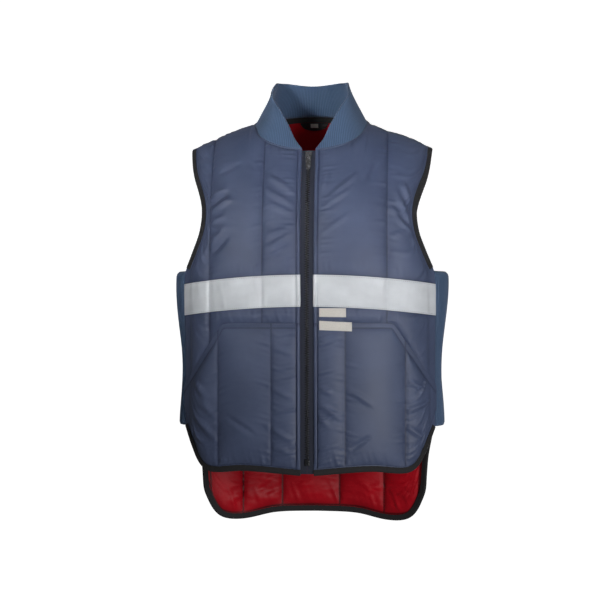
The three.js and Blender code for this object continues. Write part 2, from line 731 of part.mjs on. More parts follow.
// Slider on the zip's top stretch, in a group whose Y runs up the zip and whose Z points out of the front.
function addSlider({ point }, direction) {
  const group = new THREE.Group();
  group.position.set(0, point.y, point.z);
  group.rotation.x = Math.atan2(direction.z, direction.y);
  vest.add(group);

  const end = SLIDER.length / 2;
  const taper = [
    [-SLIDER.bottomHalf, -end],
    [SLIDER.bottomHalf, -end],
    [SLIDER.topHalf, end],
    [-SLIDER.topHalf, end],
  ];
  const join = 0.2;
  const core = rectangle(-SLIDER.coreHalf, SLIDER.coreHalf, -end, end);
  const archTop = SLIDER.plateHigh + ARCH.clear;
  const archSide = [
    [ARCH.low, SLIDER.plateHigh - join],
    [ARCH.low + ARCH.wall, SLIDER.plateHigh - join],
    [ARCH.low + ARCH.wall, archTop],
    [ARCH.high - ARCH.wall, archTop],
    [ARCH.high - ARCH.wall, SLIDER.plateHigh - join],
    [ARCH.high, SLIDER.plateHigh - join],
    [ARCH.high, archTop + ARCH.wall / 2],
    [ARCH.high - ARCH.wall / 2, archTop + ARCH.wall],
    [ARCH.low + ARCH.wall / 2, archTop + ARCH.wall],
    [ARCH.low, archTop + ARCH.wall / 2],
  ];
  const sideways = new THREE.Matrix4().makeBasis(
    new THREE.Vector3(0, 1, 0),
    new THREE.Vector3(0, 0, 1),
    new THREE.Vector3(1, 0, 0),
  );
  const arch = plate(archSide, -ARCH.half, ARCH.half).applyMatrix4(sideways);
  const body = solidOf(plate(taper, SLIDER.plateLow, SLIDER.plateHigh))
    .add(solidOf(plate(core, SLIDER.backHigh - join, SLIDER.plateLow + join)))
    .add(solidOf(plate(taper, SLIDER.backLow, SLIDER.backHigh)))
    .add(solidOf(arch));
  addMesh("zip_slider", geometryOf(body), "zipMetal", group);

  const barTop = TAB.barY + TAB.bar / 2;
  const tip = TAB.barY - TAB.length;
  const chamfer = TAB.half / 2;
  const outline = [
    [-TAB.half, tip + chamfer],
    [-chamfer, tip],
    [chamfer, tip],
    [TAB.half, tip + chamfer],
    [TAB.half, barTop],
    [-TAB.half, barTop],
  ];
  const windowTop = TAB.barY - TAB.bar / 2;
  const opening = rectangle(-TAB.windowHalf, TAB.windowHalf, windowTop - TAB.window, windowTop);
  const tabMiddle = SLIDER.plateHigh + TAB.lift;
  addMesh(
    "zip_pull_tab",
    plate(outline, tabMiddle - TAB.thick / 2, tabMiddle + TAB.thick / 2, opening),
    "zipMetal",
    group,
  );
}

// A flat piece on a grid, between two distances from the middle and two heights.
function patchOn(front, { x0, x1, z0, z1, lift, thick }) {
  const { panel, layers } = front;
  const inner = panel.columns.map((column) => column.place).filter((place) => place > x0 && place < x1);
  const crosses = (row) => row.z(x1) > z0 && row.z(x0) < z1;
  const crossed = panel.rows.map((row, j) => (crosses(row) ? j : -1)).filter((j) => j >= 0);
  const layer = (height) =>
    [x0, ...inner, x1].map((x) => {
      const u = columnAt(panel, x);
      const ends = [z0, z1].map((z) => rowAtHeight(layers.high, u, z));
      return [ends[0], ...crossed, ends[1]].map((v) => {
        const normal = between(panel.normals, u, v).normalize();
        return between(layers.high, u, v).addScaledVector(normal, height);
      });
    });
  return slab(layer(lift), layer(lift + thick));
}

// Tape and labels inside the back neck, on the lining below the collar seam.
function addNeckTrim({ panel, layers }) {
  const inside = (u, v, height) => {
    const normal = between(panel.normals, u, v).normalize();
    return between(layers.inside, u, v).addScaledVector(normal, -height);
  };
  const patch = (places, lowAt, highAt, gap, thick) => {
    const layer = (height) =>
      places.map((x) => {
        const u = columnAt(panel, x);
        return [inside(u, lowAt(x), height), inside(u, highAt(x), height)];
      });
    return slab(layer(gap + thick), layer(gap));
  };
  const ends = (half) => [
    -half,
    ...panel.columns.map((column) => column.place).filter((place) => Math.abs(place) < half),
    half,
  ];
  const seam = BACK_TOP_ROW - 1;
  const tapeMargin = 0.05;
  addMesh(
    "neck_tape",
    patch(ends(NECK_TAPE.half), () => seam, () => BACK_TOP_ROW - tapeMargin, NECK_TAPE.gap, NECK_TAPE.thick),
    "binding",
  );
  const upper = seam - tapeMargin;
  const rim = 0.1; // keeps the half-moon's ends from closing to a point
  const moon = (x) => upper - rim - NECK_LABEL.drop * Math.sqrt(Math.max(0, 1 - (x / NECK_LABEL.half) ** 2));
  const shoulder = NECK_LABEL.half * NECK_LABEL.shoulder;
  const moonPlaces = [...ends(NECK_LABEL.half), -shoulder, shoulder].sort((a, b) => a - b);
  addMesh("neck_label", patch(moonPlaces, moon, () => upper, NECK_LABEL.gap, NECK_LABEL.thick), "binding");
  addMesh(
    "size_tag",
    patch(
      ends(SIZE_TAG.half),
      () => upper - SIZE_TAG.to,
      () => upper - SIZE_TAG.from,
      NECK_LABEL.gap + NECK_LABEL.thick + SIZE_TAG.gap,
      SIZE_TAG.thick,
    ),
    "label",
  );
}

const [frontLeft, frontRight] = FRONTS.map(addFront);
const backPanel = addBack();
addRib("left", -1);
addRib("right", 1);
addArmholeBinding("left", frontLeft, backPanel);
addArmholeBinding("right", frontRight, backPanel);
addCollar(frontLeft.panel, frontRight.panel, backPanel.panel);
addZip(frontRight);
addMesh("label_upper", patchOn(frontRight, LABEL_UPPER), "label");
addMesh("label_lower", patchOn(frontRight, LABEL_LOWER), "label");
addNeckTrim(backPanel);

export default vest;
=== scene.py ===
# %% [markdown]
# # An insulated work vest
# The vest stands as it does when worn: padded nylon fronts and back, a knitted collar and side inserts,
# bound edges, a zip, hip pockets and a reflective chest tape. The solids of the vest come in as a fixed
# frame with real sizes, and each solid is replaced here by a finely made piece in the same place. The
# frame's own solids are kept, hidden.

# %% Load the frame
import math
from types import SimpleNamespace

import bmesh
import bpy
import numpy as np
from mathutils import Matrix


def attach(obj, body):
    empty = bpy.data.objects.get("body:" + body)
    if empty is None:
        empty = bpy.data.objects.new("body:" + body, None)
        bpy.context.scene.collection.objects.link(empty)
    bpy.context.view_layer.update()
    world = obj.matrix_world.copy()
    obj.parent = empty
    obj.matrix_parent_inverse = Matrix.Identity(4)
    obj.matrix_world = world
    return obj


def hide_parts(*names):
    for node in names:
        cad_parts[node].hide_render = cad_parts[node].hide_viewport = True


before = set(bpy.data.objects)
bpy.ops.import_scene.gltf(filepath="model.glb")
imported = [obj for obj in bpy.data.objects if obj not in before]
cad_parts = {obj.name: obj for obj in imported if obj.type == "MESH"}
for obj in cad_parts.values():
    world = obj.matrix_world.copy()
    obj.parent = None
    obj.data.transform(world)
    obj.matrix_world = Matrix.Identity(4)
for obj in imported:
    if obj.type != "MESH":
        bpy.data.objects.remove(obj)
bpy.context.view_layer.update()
MM = 0.001
BODY = "garment"
scene = bpy.context.scene

# %% [markdown]
# ## Camera and studio
# The picture is taken from the front at chest height, a few degrees to the wearer's left, from about two
# and a half metres, so the perspective is flat. The height of the chest tape, 50 mm, sets the scale. A
# horizontal camera keeps upright lines upright, so no shift is needed.

# %% Camera
CAMERA_AIM = (-0.0112, 0.0, -0.295)
CAMERA_DISTANCE = 2.5
CAMERA_AZIMUTH = math.radians(4.0)
CAMERA_LENS = 89.4

camera_data = bpy.data.cameras.new("studio_camera")
camera_data.lens = CAMERA_LENS
camera = bpy.data.objects.new("studio_camera", camera_data)
camera.location = (
    CAMERA_AIM[0] + CAMERA_DISTANCE * math.sin(CAMERA_AZIMUTH),
    CAMERA_AIM[1] - CAMERA_DISTANCE * math.cos(CAMERA_AZIMUTH),
    CAMERA_AIM[2],
)
camera.rotation_euler = (math.pi / 2, 0, CAMERA_AZIMUTH)
scene.collection.objects.link(camera)
scene.camera = camera
print("camera at", [round(value, 3) for value in camera.location])


# %% [markdown]
# Meshes are filled from whole arrays. One helper takes the points and any number of face arrays, one array
# for the quads and another for the five-sided faces, and writes them with `foreach_set`. A grid helper
# numbers the quads of a rectangular net of points, with a switch that turns them over, and another helper
# numbers the faces of a closed section that is carried along a path.

# %% Mesh helpers
def make_mesh(name, points, *face_sets):
    """A mesh from an array of points and arrays of faces, each array with its own number of corners."""
    mesh = bpy.data.meshes.new(name)
    corners = np.concatenate([faces.ravel() for faces in face_sets])
    sizes = np.concatenate([np.full(len(faces), faces.shape[1]) for faces in face_sets])
    starts = np.concatenate([[0], np.cumsum(sizes)[:-1]])
    mesh.vertices.add(len(points))
    mesh.vertices.foreach_set("co", np.ascontiguousarray(points, dtype=np.float32).ravel())
    mesh.loops.add(len(corners))
    mesh.loops.foreach_set("vertex_index", corners.astype(np.int32))
    mesh.polygons.add(len(sizes))
    mesh.polygons.foreach_set("loop_start", starts.astype(np.int32))
    mesh.update(calc_edges=True)
    mesh.polygons.foreach_set("use_smooth", np.ones(len(sizes), dtype=bool))
    return mesh


def grid_faces(columns, rows, turned=False, first=0, ring=False):
    """Quads of a net of columns x rows points numbered column by column; a ring joins its ends."""
    numbers = first + np.arange(columns * rows).reshape(columns, rows)
    if ring:
        numbers = np.concatenate([numbers, numbers[:1]])
    quads = np.stack([numbers[:-1, :-1], numbers[1:, :-1], numbers[1:, 1:], numbers[:-1, 1:]], axis=-1)
    quads = quads.reshape(-1, 4)
    return quads[:, ::-1] if turned else quads


def section_faces(columns, rows):
    """Faces of a closed section carried along a path: quads round it, and a strip of quads at each end."""
    numbers = np.arange(columns * rows).reshape(columns, rows)
    looped = np.concatenate([numbers, numbers[:, :1]], axis=1)
    quads = np.stack([looped[:-1, :-1], looped[1:, :-1], looped[1:, 1:], looped[:-1, 1:]], axis=-1)
    half = np.arange(rows // 2 - 1)
    corners = np.stack([half, half + 1, rows - 2 - half, rows - 1 - half], axis=-1)
    return quads.reshape(-1, 4), numbers[0][corners], numbers[-1][corners][:, ::-1]


def grid_normals(points, turned=False):
    """Unit normals of a net: the cross product of its differences along columns and along rows."""
    across = np.gradient(points, axis=0)
    up = np.gradient(points, axis=1)
    normals = np.cross(across, up)
    normals /= np.linalg.norm(normals, axis=-1, keepdims=True)
    return -normals if turned else normals


def add_piece(name, mesh, material, replaced=(), body=BODY, sharp=None):
    """Links a finished mesh as a piece: its material, body and the solids it stands for, which are hidden."""
    if sharp is not None:
        mesh.set_sharp_from_angle(angle=math.radians(sharp))
    piece = bpy.data.objects.new(name, mesh)
    scene.collection.objects.link(piece)
    mesh.materials.append(material)
    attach(piece, body)
    if replaced:
        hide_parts(*replaced)
    return piece


# %% [markdown]
# The studio is a round white room: a floor that curves up into a wall and a ceiling, so that every side of
# the vest has a white background. It glows evenly and is left out of reflections and bounced light. A faint
# even light fills the shadows, and three lamps model the padding: a gridded softbox on the left picks out
# the upper chest, an open one on the right lights the front from waist height, and a low one lights the
# back, so that it isn't mirrored along the shoulders.

# %% Studio
FLOOR_Z = -1.6
ROOM_RADIUS = 7.0
ROOM_HEIGHT = 9.0
SWEEP = 1.2


def studio_room():
    """A profile turned round Z: floor, a quarter circle, a straight wall and a ceiling."""
    bend = np.linspace(0, math.pi / 2, 16)
    out = np.concatenate([[0.01], ROOM_RADIUS - SWEEP * (1 - np.sin(bend)), [ROOM_RADIUS, 0.01]])
    height = np.concatenate([[0], SWEEP * (1 - np.cos(bend)), [ROOM_HEIGHT, ROOM_HEIGHT]]) + FLOOR_Z
    turn = np.linspace(0, 2 * np.pi, 64, endpoint=False)[:, None]
    points = np.stack(np.broadcast_arrays(out * np.cos(turn), out * np.sin(turn), height), axis=-1)
    return make_mesh("studio_room", points.reshape(-1, 3), grid_faces(64, len(out), True, ring=True))


def soft_light(name, place, aim, size, power, spread=180):
    """A rectangular area light that faces a point; a spread below 180 degrees stands for a grid in front."""
    data = bpy.data.lights.new(name, "AREA")
    data.spread = math.radians(spread)
    data.shape = "RECTANGLE"
    data.size, data.size_y = size
    data.energy = power
    light = bpy.data.objects.new(name, data)
    light.location = place
    direction = np.array(aim) - np.array(place)
    distance = np.linalg.norm(direction)
    light.rotation_euler = (math.acos(-direction[2] / distance), 0, math.atan2(-direction[0], direction[1]))
    scene.collection.objects.link(light)


room = bpy.data.objects.new("studio_room", studio_room())
scene.collection.objects.link(room)
paint = bpy.data.materials.new("studio_paint")
paint.use_nodes = True
paint_shader = paint.node_tree.nodes["Principled BSDF"]
paint_shader.inputs["Base Color"].default_value = (0.5, 0.5, 0.5, 1)
paint_shader.inputs["Roughness"].default_value = 0.9
paint_shader.inputs["Emission Color"].default_value = (1, 1, 1, 1)
paint_shader.inputs["Emission Strength"].default_value = 1.0
room.data.materials.append(paint)
room.visible_diffuse = False
room.visible_glossy = False
room.visible_shadow = False

world = bpy.data.worlds.new("studio_world")
world.use_nodes = True
world.node_tree.nodes["Background"].inputs["Color"].default_value = (1, 1, 1, 1)
world.node_tree.nodes["Background"].inputs["Strength"].default_value = 0.1
scene.world = world
scene.view_settings.view_transform = "Standard"
CHEST = (0, -0.1, -0.3)
UPPER_CHEST = (0, -0.1, 0.03)
soft_light("softbox_left", (-1.1, -2.3, 0.1), UPPER_CHEST, (1.0, 0.6), 1.6, spread=18)
soft_light("softbox_right", (1.3, -2.2, -0.4), CHEST, (0.8, 1.1), 41)
soft_light("softbox_behind", (0.5, 2.5, -0.8), CHEST, (1.8, 1.4), 62)

# %% [markdown]
# ## Finishes
# Every finish is written as arithmetic. A small class wraps a shader value, so that `1 - mask` or
# `weave * 0.5` adds the Math nodes for it, and one method of the material adds any other node. Patterns
# follow the cloth through its own UV map, which is in metres, so that a 3 mm thread is 3 mm everywhere.

# %% Shader helpers
class Wire:
    """A shader value: each operator on it adds one Math node."""

    def __init__(self, finish, socket):
        self.finish = finish
        self.socket = socket

    def math(self, operation, first, second=0.0):
        return self.finish.node("ShaderNodeMath", {"operation": operation}, {0: first, 1: second})

    def __add__(self, other):
        return self.math("ADD", self, other)

    __radd__ = __add__

    def __sub__(self, other):
        return self.math("SUBTRACT", self, other)

    def __rsub__(self, other):
        return self.math("SUBTRACT", other, self)

    def __mul__(self, other):
        return self.math("MULTIPLY", self, other)

    __rmul__ = __mul__


class Finish:
    """A material whose constants sit on the shader's own sockets and whose patterns come from nodes."""

    def __init__(self, name, constants):
        self.material = bpy.data.materials.new(name)
        self.material.use_nodes = True
        self.tree = self.material.node_tree
        self.shader = self.tree.nodes["Principled BSDF"]
        self.feed(self.shader, constants)

    def feed(self, target, sockets):
        for name, value in sockets.items():
            if isinstance(value, Wire):
                self.tree.links.new(value.socket, target.inputs[name])
            else:
                target.inputs[name].default_value = value

    def node(self, kind, settings, sockets, output=0):
        made = self.tree.nodes.new(kind)
        for name, value in settings.items():
            setattr(made, name, value)
        self.feed(made, sockets)
        return Wire(self, made.outputs[output])

    def mix(self, factor, first, second):
        settings = {"data_type": "RGBA"}
        return self.node("ShaderNodeMix", settings, {0: factor, 6: first, 7: second}, output=2)

    def noise(self, vector, scale, detail=2.0, roughness=0.5, kind="FBM"):
        settings = {"noise_dimensions": "3D", "noise_type": kind}
        sockets = {"Vector": vector, "Scale": scale, "Detail": detail, "Roughness": roughness}
        return self.node("ShaderNodeTexNoise", settings, sockets)

    def cloth_map(self, stretch=(1, 1, 1)):
        place = self.node("ShaderNodeUVMap", {"uv_map": "cloth"}, {})
        return self.node("ShaderNodeMapping", {}, {"Vector": place, "Scale": stretch})

    def stripes(self, axis, pitch):
        """A sine wave from 0 to 1 across the cloth (axis 0) or up the cloth (axis 1), one per pitch."""
        place = self.node("ShaderNodeUVMap", {"uv_map": "cloth"}, {})
        along = self.node("ShaderNodeSeparateXYZ", {}, {0: place}, output=axis)
        turns = along * (2 * math.pi / pitch)
        return 0.5 + 0.5 * turns.math("SINE", turns)

    def drawn(self, name):
        """A number that the mesh carries at each point."""
        return self.node("ShaderNodeAttribute", {"attribute_name": name}, {}, output=2)

    def finish(self, colour, roughness, height, depth):
        """Links colour, roughness and a bump of a real depth to the shader."""
        bump = self.node("ShaderNodeBump", {}, {"Height": height, "Distance": depth, "Strength": 1.0})
        self.feed(self.shader, {"Base Color": colour, "Roughness": roughness, "Normal": bump})
        return self.material


def srgb(red, green, blue):
    """A colour given as 0 to 255, in the linear values that shaders use."""
    share = np.array([red, green, blue]) / 255
    linear = np.where(share < 0.04045, share / 12.92, ((share + 0.055) / 1.055) ** 2.4)
    return (*linear.tolist(), 1.0)


# %% [markdown]
# The shell is a slate-blue nylon taffeta with a faint sheen, and the lining is a duller red one. Both have
# a fine plain weave, small crisp creases with softer dimples between them, slightly dark seams and a broader
# painted shade beside the seams. The creases are ridged noise, stretched across the channels, because nylon
# folds in sharp lines.

# %% Nylon finishes
def nylon(name, light, dark, roughness, gloss, sheen):
    """Taffeta whose tone follows worn patches and the weave, darker on its seams, with painted shade beside
    them.
    """
    constants = {"Sheen Weight": sheen, "Sheen Roughness": 0.45, "Specular IOR Level": gloss}
    cloth = Finish(name, constants)
    weave = cloth.stripes(0, 0.9 * MM) * cloth.stripes(1, 0.9 * MM)
    creases = cloth.noise(cloth.cloth_map((0.8, 1.5, 1)), 26, 3, 0.55, "RIDGED_MULTIFRACTAL")
    soft = cloth.noise(cloth.cloth_map((1, 1.6, 1)), 70, 2)
    patches = cloth.noise(cloth.cloth_map(), 14, 3)
    seam = cloth.drawn("seam")
    # The seam numbers hold the dark seam lines and a broader painted shade beside them.
    tone = 0.3 + 0.6 * patches + 0.12 * weave - 0.5 * seam
    height = 0.45 * creases + 0.5 * soft + 0.1 * weave
    return cloth.finish(cloth.mix(tone, dark, light), roughness + 0.18 * patches, height, 0.5 * MM)


shell_nylon = nylon("slate_nylon", srgb(82, 93, 122), srgb(30, 38, 62), 0.4, 0.32, 0.05)
lining_nylon = nylon("red_lining", srgb(204, 6, 30), srgb(58, 2, 8), 0.4, 0.2, 0.02)


# %% [markdown]
# Knitted ribs are real relief in the mesh, and the mesh carries how high each point lies on its rib. The
# finish adds the rows of loops and a little fuzz, and paints shade into the furrows and light onto the
# crests.

# %% Knit, binding and tape finishes
def rib_knit():
    """Rows of loops on the ribs with a little fuzz, painted light on the crests and painted shade in the
    furrows.
    """
    knit = Finish("rib_knit", {"Sheen Weight": 0.15, "Sheen Roughness": 0.6, "IOR": 1.4})
    ridge = knit.drawn("ridge")
    loops = knit.stripes(1, 1.7 * MM)
    fuzz = knit.noise(knit.cloth_map(), 900, 2)
    # Painted light and shade: the crests are pale and the furrows dark, following the rib's height.
    tone = 0.12 + 0.62 * ridge + 0.12 * loops + 0.3 * (fuzz - 0.5)
    colour = knit.mix(tone, srgb(36, 52, 76), srgb(74, 99, 132))
    return knit.finish(colour, 0.85 + 0.1 * fuzz, 0.6 * loops * ridge + 0.4 * fuzz, 0.5 * MM)


def woven_tape(name, light, dark, pitch, roughness):
    """Narrow woven goods: fine ribs across the strip, crossed by finer threads."""
    strip = Finish(name, {"Sheen Weight": 0.05, "IOR": 1.4})
    ribs = strip.stripes(0, pitch)
    threads = strip.stripes(1, pitch * 0.6)
    fuzz = strip.noise(strip.cloth_map(), 500, 2)
    tone = 0.35 * ribs + 0.2 * threads + 0.5 * fuzz
    relief = 0.6 * ribs + 0.3 * threads
    return strip.finish(strip.mix(tone, dark, light), roughness + 0.1 * fuzz, relief, 0.25 * MM)


def reflective_cloth():
    """Silver cloth of glass beads: fine grain, cloudy patches and a faint grid of threads."""
    cloth = Finish("reflective_cloth", {"IOR": 1.5, "Sheen Weight": 0.1})
    grain = cloth.noise(cloth.cloth_map(), 1500, 1)
    cloud = cloth.noise(cloth.cloth_map((1, 1.5, 1)), 22, 3)
    threads = cloth.stripes(0, 1.1 * MM) * cloth.stripes(1, 1.1 * MM)
    creases = cloth.noise(cloth.cloth_map((1.6, 0.8, 1)), 30, 2, 0.5, "RIDGED_MULTIFRACTAL")
    tone = 0.2 + 0.6 * cloud + 0.2 * grain + 0.1 * threads
    colour = cloth.mix(tone, srgb(146, 150, 156), srgb(216, 220, 224))
    relief = 0.3 * threads + 0.3 * grain + 0.5 * creases
    return cloth.finish(colour, 0.36 + 0.2 * cloud, relief, 0.3 * MM)


knit_finish = rib_knit()
binding_finish = woven_tape("black_binding", srgb(42, 41, 43), srgb(12, 12, 14), 1.3 * MM, 0.72)
zip_tape_finish = woven_tape("zip_tape", srgb(50, 54, 70), srgb(17, 19, 27), 1.0 * MM, 0.8)
label_finish = woven_tape("woven_label", srgb(226, 222, 214), srgb(176, 172, 166), 0.8 * MM, 0.75)
slate_thread = woven_tape("slate_thread", srgb(58, 66, 92), srgb(26, 31, 48), 0.5 * MM, 0.6)
red_thread = woven_tape("red_thread", srgb(150, 10, 24), srgb(80, 3, 10), 0.5 * MM, 0.6)
grey_thread = woven_tape("grey_thread", srgb(150, 154, 160), srgb(90, 94, 100), 0.5 * MM, 0.6)
tape_finish = reflective_cloth()
print(len(bpy.data.materials), "finishes")

# %% [markdown]
# ## The form of the body
# All panels lie on one surface: horizontal rings of a rounded torso, which roll over at the top to the
# neckline and the shoulder line. A few tables hold the rings and edges. A cubic curve through each table
# gives every height in between, and works on whole arrays.

# %% Curves through tables
def curve(places, values, place_unit=MM):
    """Cubic through a table's rows, sloped at each row like the line between the rows on either side."""
    knots = place_unit * np.array(places, dtype=float)
    heights = MM * np.array(values, dtype=float)
    last = len(knots) - 1
    before = np.maximum(np.arange(last + 1) - 1, 0)
    after = np.minimum(np.arange(last + 1) + 1, last)
    slopes = (heights[after] - heights[before]) / (knots[after] - knots[before])

    def at(place):
        place = np.clip(place, knots[0], knots[-1])
        i = np.clip(np.searchsorted(knots, place) - 1, 0, last - 1)
        width = knots[i + 1] - knots[i]
        f = (place - knots[i]) / width
        rise = (1 - f) ** 2 * (1 + 2 * f) * heights[i] + f**2 * (3 - 2 * f) * heights[i + 1]
        return rise + width * f * (1 - f) * ((1 - f) * slopes[i] - f * slopes[i + 1])

    return at


TORSO_Z = (-670, -560, -490, -370, -250, -150, -60, 40)
torso_half = curve(TORSO_Z, (208, 212, 215, 212, 222, 208, 201, 199))
torso_front = curve(TORSO_Z, (112, 112, 115, 118, 122, 112, 85, 60))
torso_back = curve(TORSO_Z, (118, 118, 118, 111, 122, 125, 112, 80))
FRONT_SIDE_Z = (-262, -240, -228, -206, -179, -145, -120, -81, -38)
FRONT_SIDE_X = (201, 199, 194, 185, 175, 171, 176, 190, 197.5)
front_side = curve(FRONT_SIDE_Z, FRONT_SIDE_X)
back_side = curve((-608, -550, -493, *FRONT_SIDE_Z), (187, 191, 200, *FRONT_SIDE_X))
front_hem = curve((0, 100, 158, 176, 189, 201), (-564, -557, -561, -549, -522, -491))
tail_hem = curve((0, 70, 123, 158, 174, 187), (-649, -651, -661, -657, -640, -608))
print("waist is", round(2 * float(torso_half(-0.37)), 3), "m wide")

# %% Neckline, shoulder line and panel surface
NECK_HALF = 92 * MM
NECK_FRONT = 72 * MM
NECK_BACK = 66 * MM
FRONT_DROP = 48 * MM
BACK_RISE = 26 * MM
SHOULDER_TIP = (197.5 * MM, 5 * MM, -38 * MM)
SHOULDER_GAP = 1.5 * MM
RING_POWER = 0.8
NECK_POWER, SHOULDER_POWER = 0.6, 1.1
MIDDLE_ROLL, SIDE_ROLL = 45 * MM, 100 * MM
MIDDLE_POWER, SIDE_POWER = 1.25, 2.0
FRONT, BACK = -1, 1


def top_edge(x, face):
    """Depth and height of the neckline (an ellipse) or, beyond it, of the sloping shoulder line."""
    across = np.abs(x)
    arch = np.sqrt(np.clip(1 - (across / NECK_HALF) ** 2, 0, 1))
    f = np.clip((across - NECK_HALF) / (SHOULDER_TIP[0] - NECK_HALF), 0, None)
    neck_y = -NECK_FRONT * arch**NECK_POWER if face == FRONT else NECK_BACK * arch
    neck_z = -FRONT_DROP * arch if face == FRONT else BACK_RISE * arch
    on_neck = across < NECK_HALF
    y = np.where(on_neck, neck_y, SHOULDER_TIP[1] * f)
    return y, np.where(on_neck, neck_z, SHOULDER_TIP[2] * f**SHOULDER_POWER)


def panel_y(x, z, face):
    """Depth of the surface: the torso's ring below, and a superellipse roll up to the top edge."""
    edge_y, edge_z = top_edge(x, face)
    depth = torso_front(z) if face == FRONT else torso_back(z)
    ring = np.clip(1 - (x / torso_half(z)) ** 2, 0, 1) ** (RING_POWER / 2)
    sideways = np.minimum(1, np.abs(x) / NECK_HALF) if face == FRONT else np.ones_like(x)
    roll = MIDDLE_ROLL + (SIDE_ROLL - MIDDLE_ROLL) * sideways
    power = MIDDLE_POWER + (SIDE_POWER - MIDDLE_POWER) * sideways
    near = np.clip(1 - (edge_z - z) / roll, 0, 1)
    away = (1 - near**power) ** (1 / power)
    edge_y = edge_y + face * SHOULDER_GAP / 2
    return edge_y + (face * depth * ring - edge_y) * away


# %% [markdown]
# ## Cloth panels
# A panel is a net of points on that surface. Its columns are shared out between upright lines, such as the
# placket's edge and the stitched lines of the quilting, and its rows between crossing lines, such as the hem
# and the edges of the chest tape. Because a net line lies on every stitched line, the cloth can later be
# pinned exactly where it is sewn.

# %% Nets of points
SEAM = 10 * MM
SETTLE_ROUNDS = 24


def stations(widths, steps):
    """Strip number and share across it for each line of a net, with cells of about one step."""
    counts = np.maximum(1, np.round(np.array(widths) / steps)).astype(int)
    strip = np.append(np.repeat(np.arange(len(counts)), counts), len(counts) - 1)
    share = np.append(np.concatenate([np.arange(n) / n for n in counts]), 1.0)
    return strip, share, np.append(0, np.cumsum(counts))


def level(value):
    """A straight line at one distance or height."""
    return lambda at: np.full_like(at, value)


def arc_lengths(net):
    """Distance travelled over a net along its columns' direction and along its rows' direction."""
    across = np.linalg.norm(np.diff(net, axis=0, prepend=net[:1]), axis=-1).cumsum(axis=0)
    up = np.linalg.norm(np.diff(net, axis=1, prepend=net[:, :1]), axis=-1).cumsum(axis=1)
    return np.stack([across, up], axis=-1)


def panel_net(upright, crossing, face, sign=1, step=4 * MM, row_steps=4 * MM, ease=1.0, gauge=(-350, 170)):
    """Net of a panel: x lies between upright lines, z between crossing lines, settled by substitution.
    The gauge, a height and a distance in mm, is where strips and bands are measured to count their cells.
    Ease crowds the last band's rows towards the top edge, where the panel bends most."""
    gauge_z, gauge_x = (np.array(value * MM) for value in gauge)
    widths = np.abs(np.diff([line(gauge_z) for line in upright]))
    heights = np.abs(np.diff([line(gauge_x) for line in crossing]))
    strip, share, columns = stations(widths, step)
    band, rise, rows = stations(heights, row_steps)
    rise = np.where(band == band[-1], 1 - (1 - rise) ** ease, rise)
    z = np.full((len(strip), len(band)), float(gauge_z))
    for _ in range(SETTLE_ROUNDS):
        lines = np.stack([line(z) for line in upright])
        low, high = lines[strip, np.arange(len(strip))], lines[strip + 1, np.arange(len(strip))]
        x = low + (high - low) * share[:, None]
        lines = np.stack([line(np.abs(x)) for line in crossing])
        low, high = lines[band, :, np.arange(len(band))].T, lines[band + 1, :, np.arange(len(band))].T
        z = low + (high - low) * rise
    points = np.stack([sign * x, panel_y(x, z, face), z], axis=-1)
    turned = sign * face > 0
    return SimpleNamespace(
        points=points, normals=grid_normals(points, turned), turned=turned, columns=columns, rows=rows,
        strip=strip, share=share, band=band, rise=rise, uv=arc_lengths(points),
    )


def doubled(net):
    """Twice as fine a net: each new point is (-a + 9b + 9c - d) / 16 of the four points in line with it."""

    def along(values):
        ends = np.concatenate([2 * values[:1] - values[1:2], values, 2 * values[-1:] - values[-2:-1]])
        middle = (9 * (ends[1:-2] + ends[2:-1]) - ends[:-3] - ends[3:]) / 16
        fine = np.empty((2 * len(values) - 1, *values.shape[1:]))
        fine[::2] = values
        fine[1::2] = middle
        return fine

    return along(along(net).swapaxes(0, 1)).swapaxes(0, 1)


# %% [markdown]
# A padded piece is a closed body: a fine outer face, a coarser hidden face and a wall round the border. The
# outer net has two cells where the hidden one has one, so the wall is made of five-sided faces.

# %% Closed padded meshes
def border(numbers):
    """Numbers round the border of a net, in one closed loop."""
    return np.concatenate([numbers[:-1, 0], numbers[-1, :-1], numbers[:0:-1, -1], numbers[0, :0:-1]])


def padded_mesh(name, outer, hidden, uv, turned):
    """Outer net, hidden net of every second point, and pentagons from each hidden edge to two outer ones."""
    fine, coarse = outer.shape[:2], hidden.shape[:2]
    first = fine[0] * fine[1]
    outside = border(np.arange(first).reshape(fine))
    inside = border(first + np.arange(coarse[0] * coarse[1]).reshape(coarse))
    after = [np.roll(outside, -2)[::2], np.roll(outside, -1)[::2], outside[::2]]
    wall = np.stack([inside, np.roll(inside, -1), *after], axis=-1)
    points = np.concatenate([outer.reshape(-1, 3), hidden.reshape(-1, 3)])
    faces = grid_faces(*fine, turned), grid_faces(*coarse, not turned, first)
    mesh = make_mesh(name, points, *faces, wall[:, ::-1] if turned else wall)
    add_uv(mesh, np.concatenate([uv.reshape(-1, 2), uv[::2, ::2].reshape(-1, 2)]))
    return mesh


def add_uv(mesh, uv):
    """The cloth map: one pair of distances in metres for each point, spread to the corners of the faces."""
    corners = np.empty(len(mesh.loops), dtype=np.int32)
    mesh.loops.foreach_get("vertex_index", corners)
    mesh.uv_layers.new(name="cloth").data.foreach_set("uv", uv[corners].astype(np.float32).ravel())


def add_numbers(mesh, name, values):
    """A number at each point, for a finish to read; points past the end of the array get zero."""
    whole = np.zeros(len(mesh.vertices), dtype=np.float32)
    whole[: values.size] = values.ravel()
    mesh.attributes.new(name, "FLOAT", "POINT").data.foreach_set("value", whole)


# %% [markdown]
# The padding is blown up as real cloth. Each channel between two stitched lines gets a little spare length
# both ways and pressure from inside, with the stitched points pinned and no gravity. Solving it gives the
# uneven swell and drag lines of wadding that no formula has. All pieces swell in the same few frames, the
# result is read back as an array, and the helpers are deleted.

# %% Cloth under pressure
SWELL_FRAMES = 24
SPARE_LENGTH = (1.03, 1.03, 1.035)
PRESSURE = 5.0


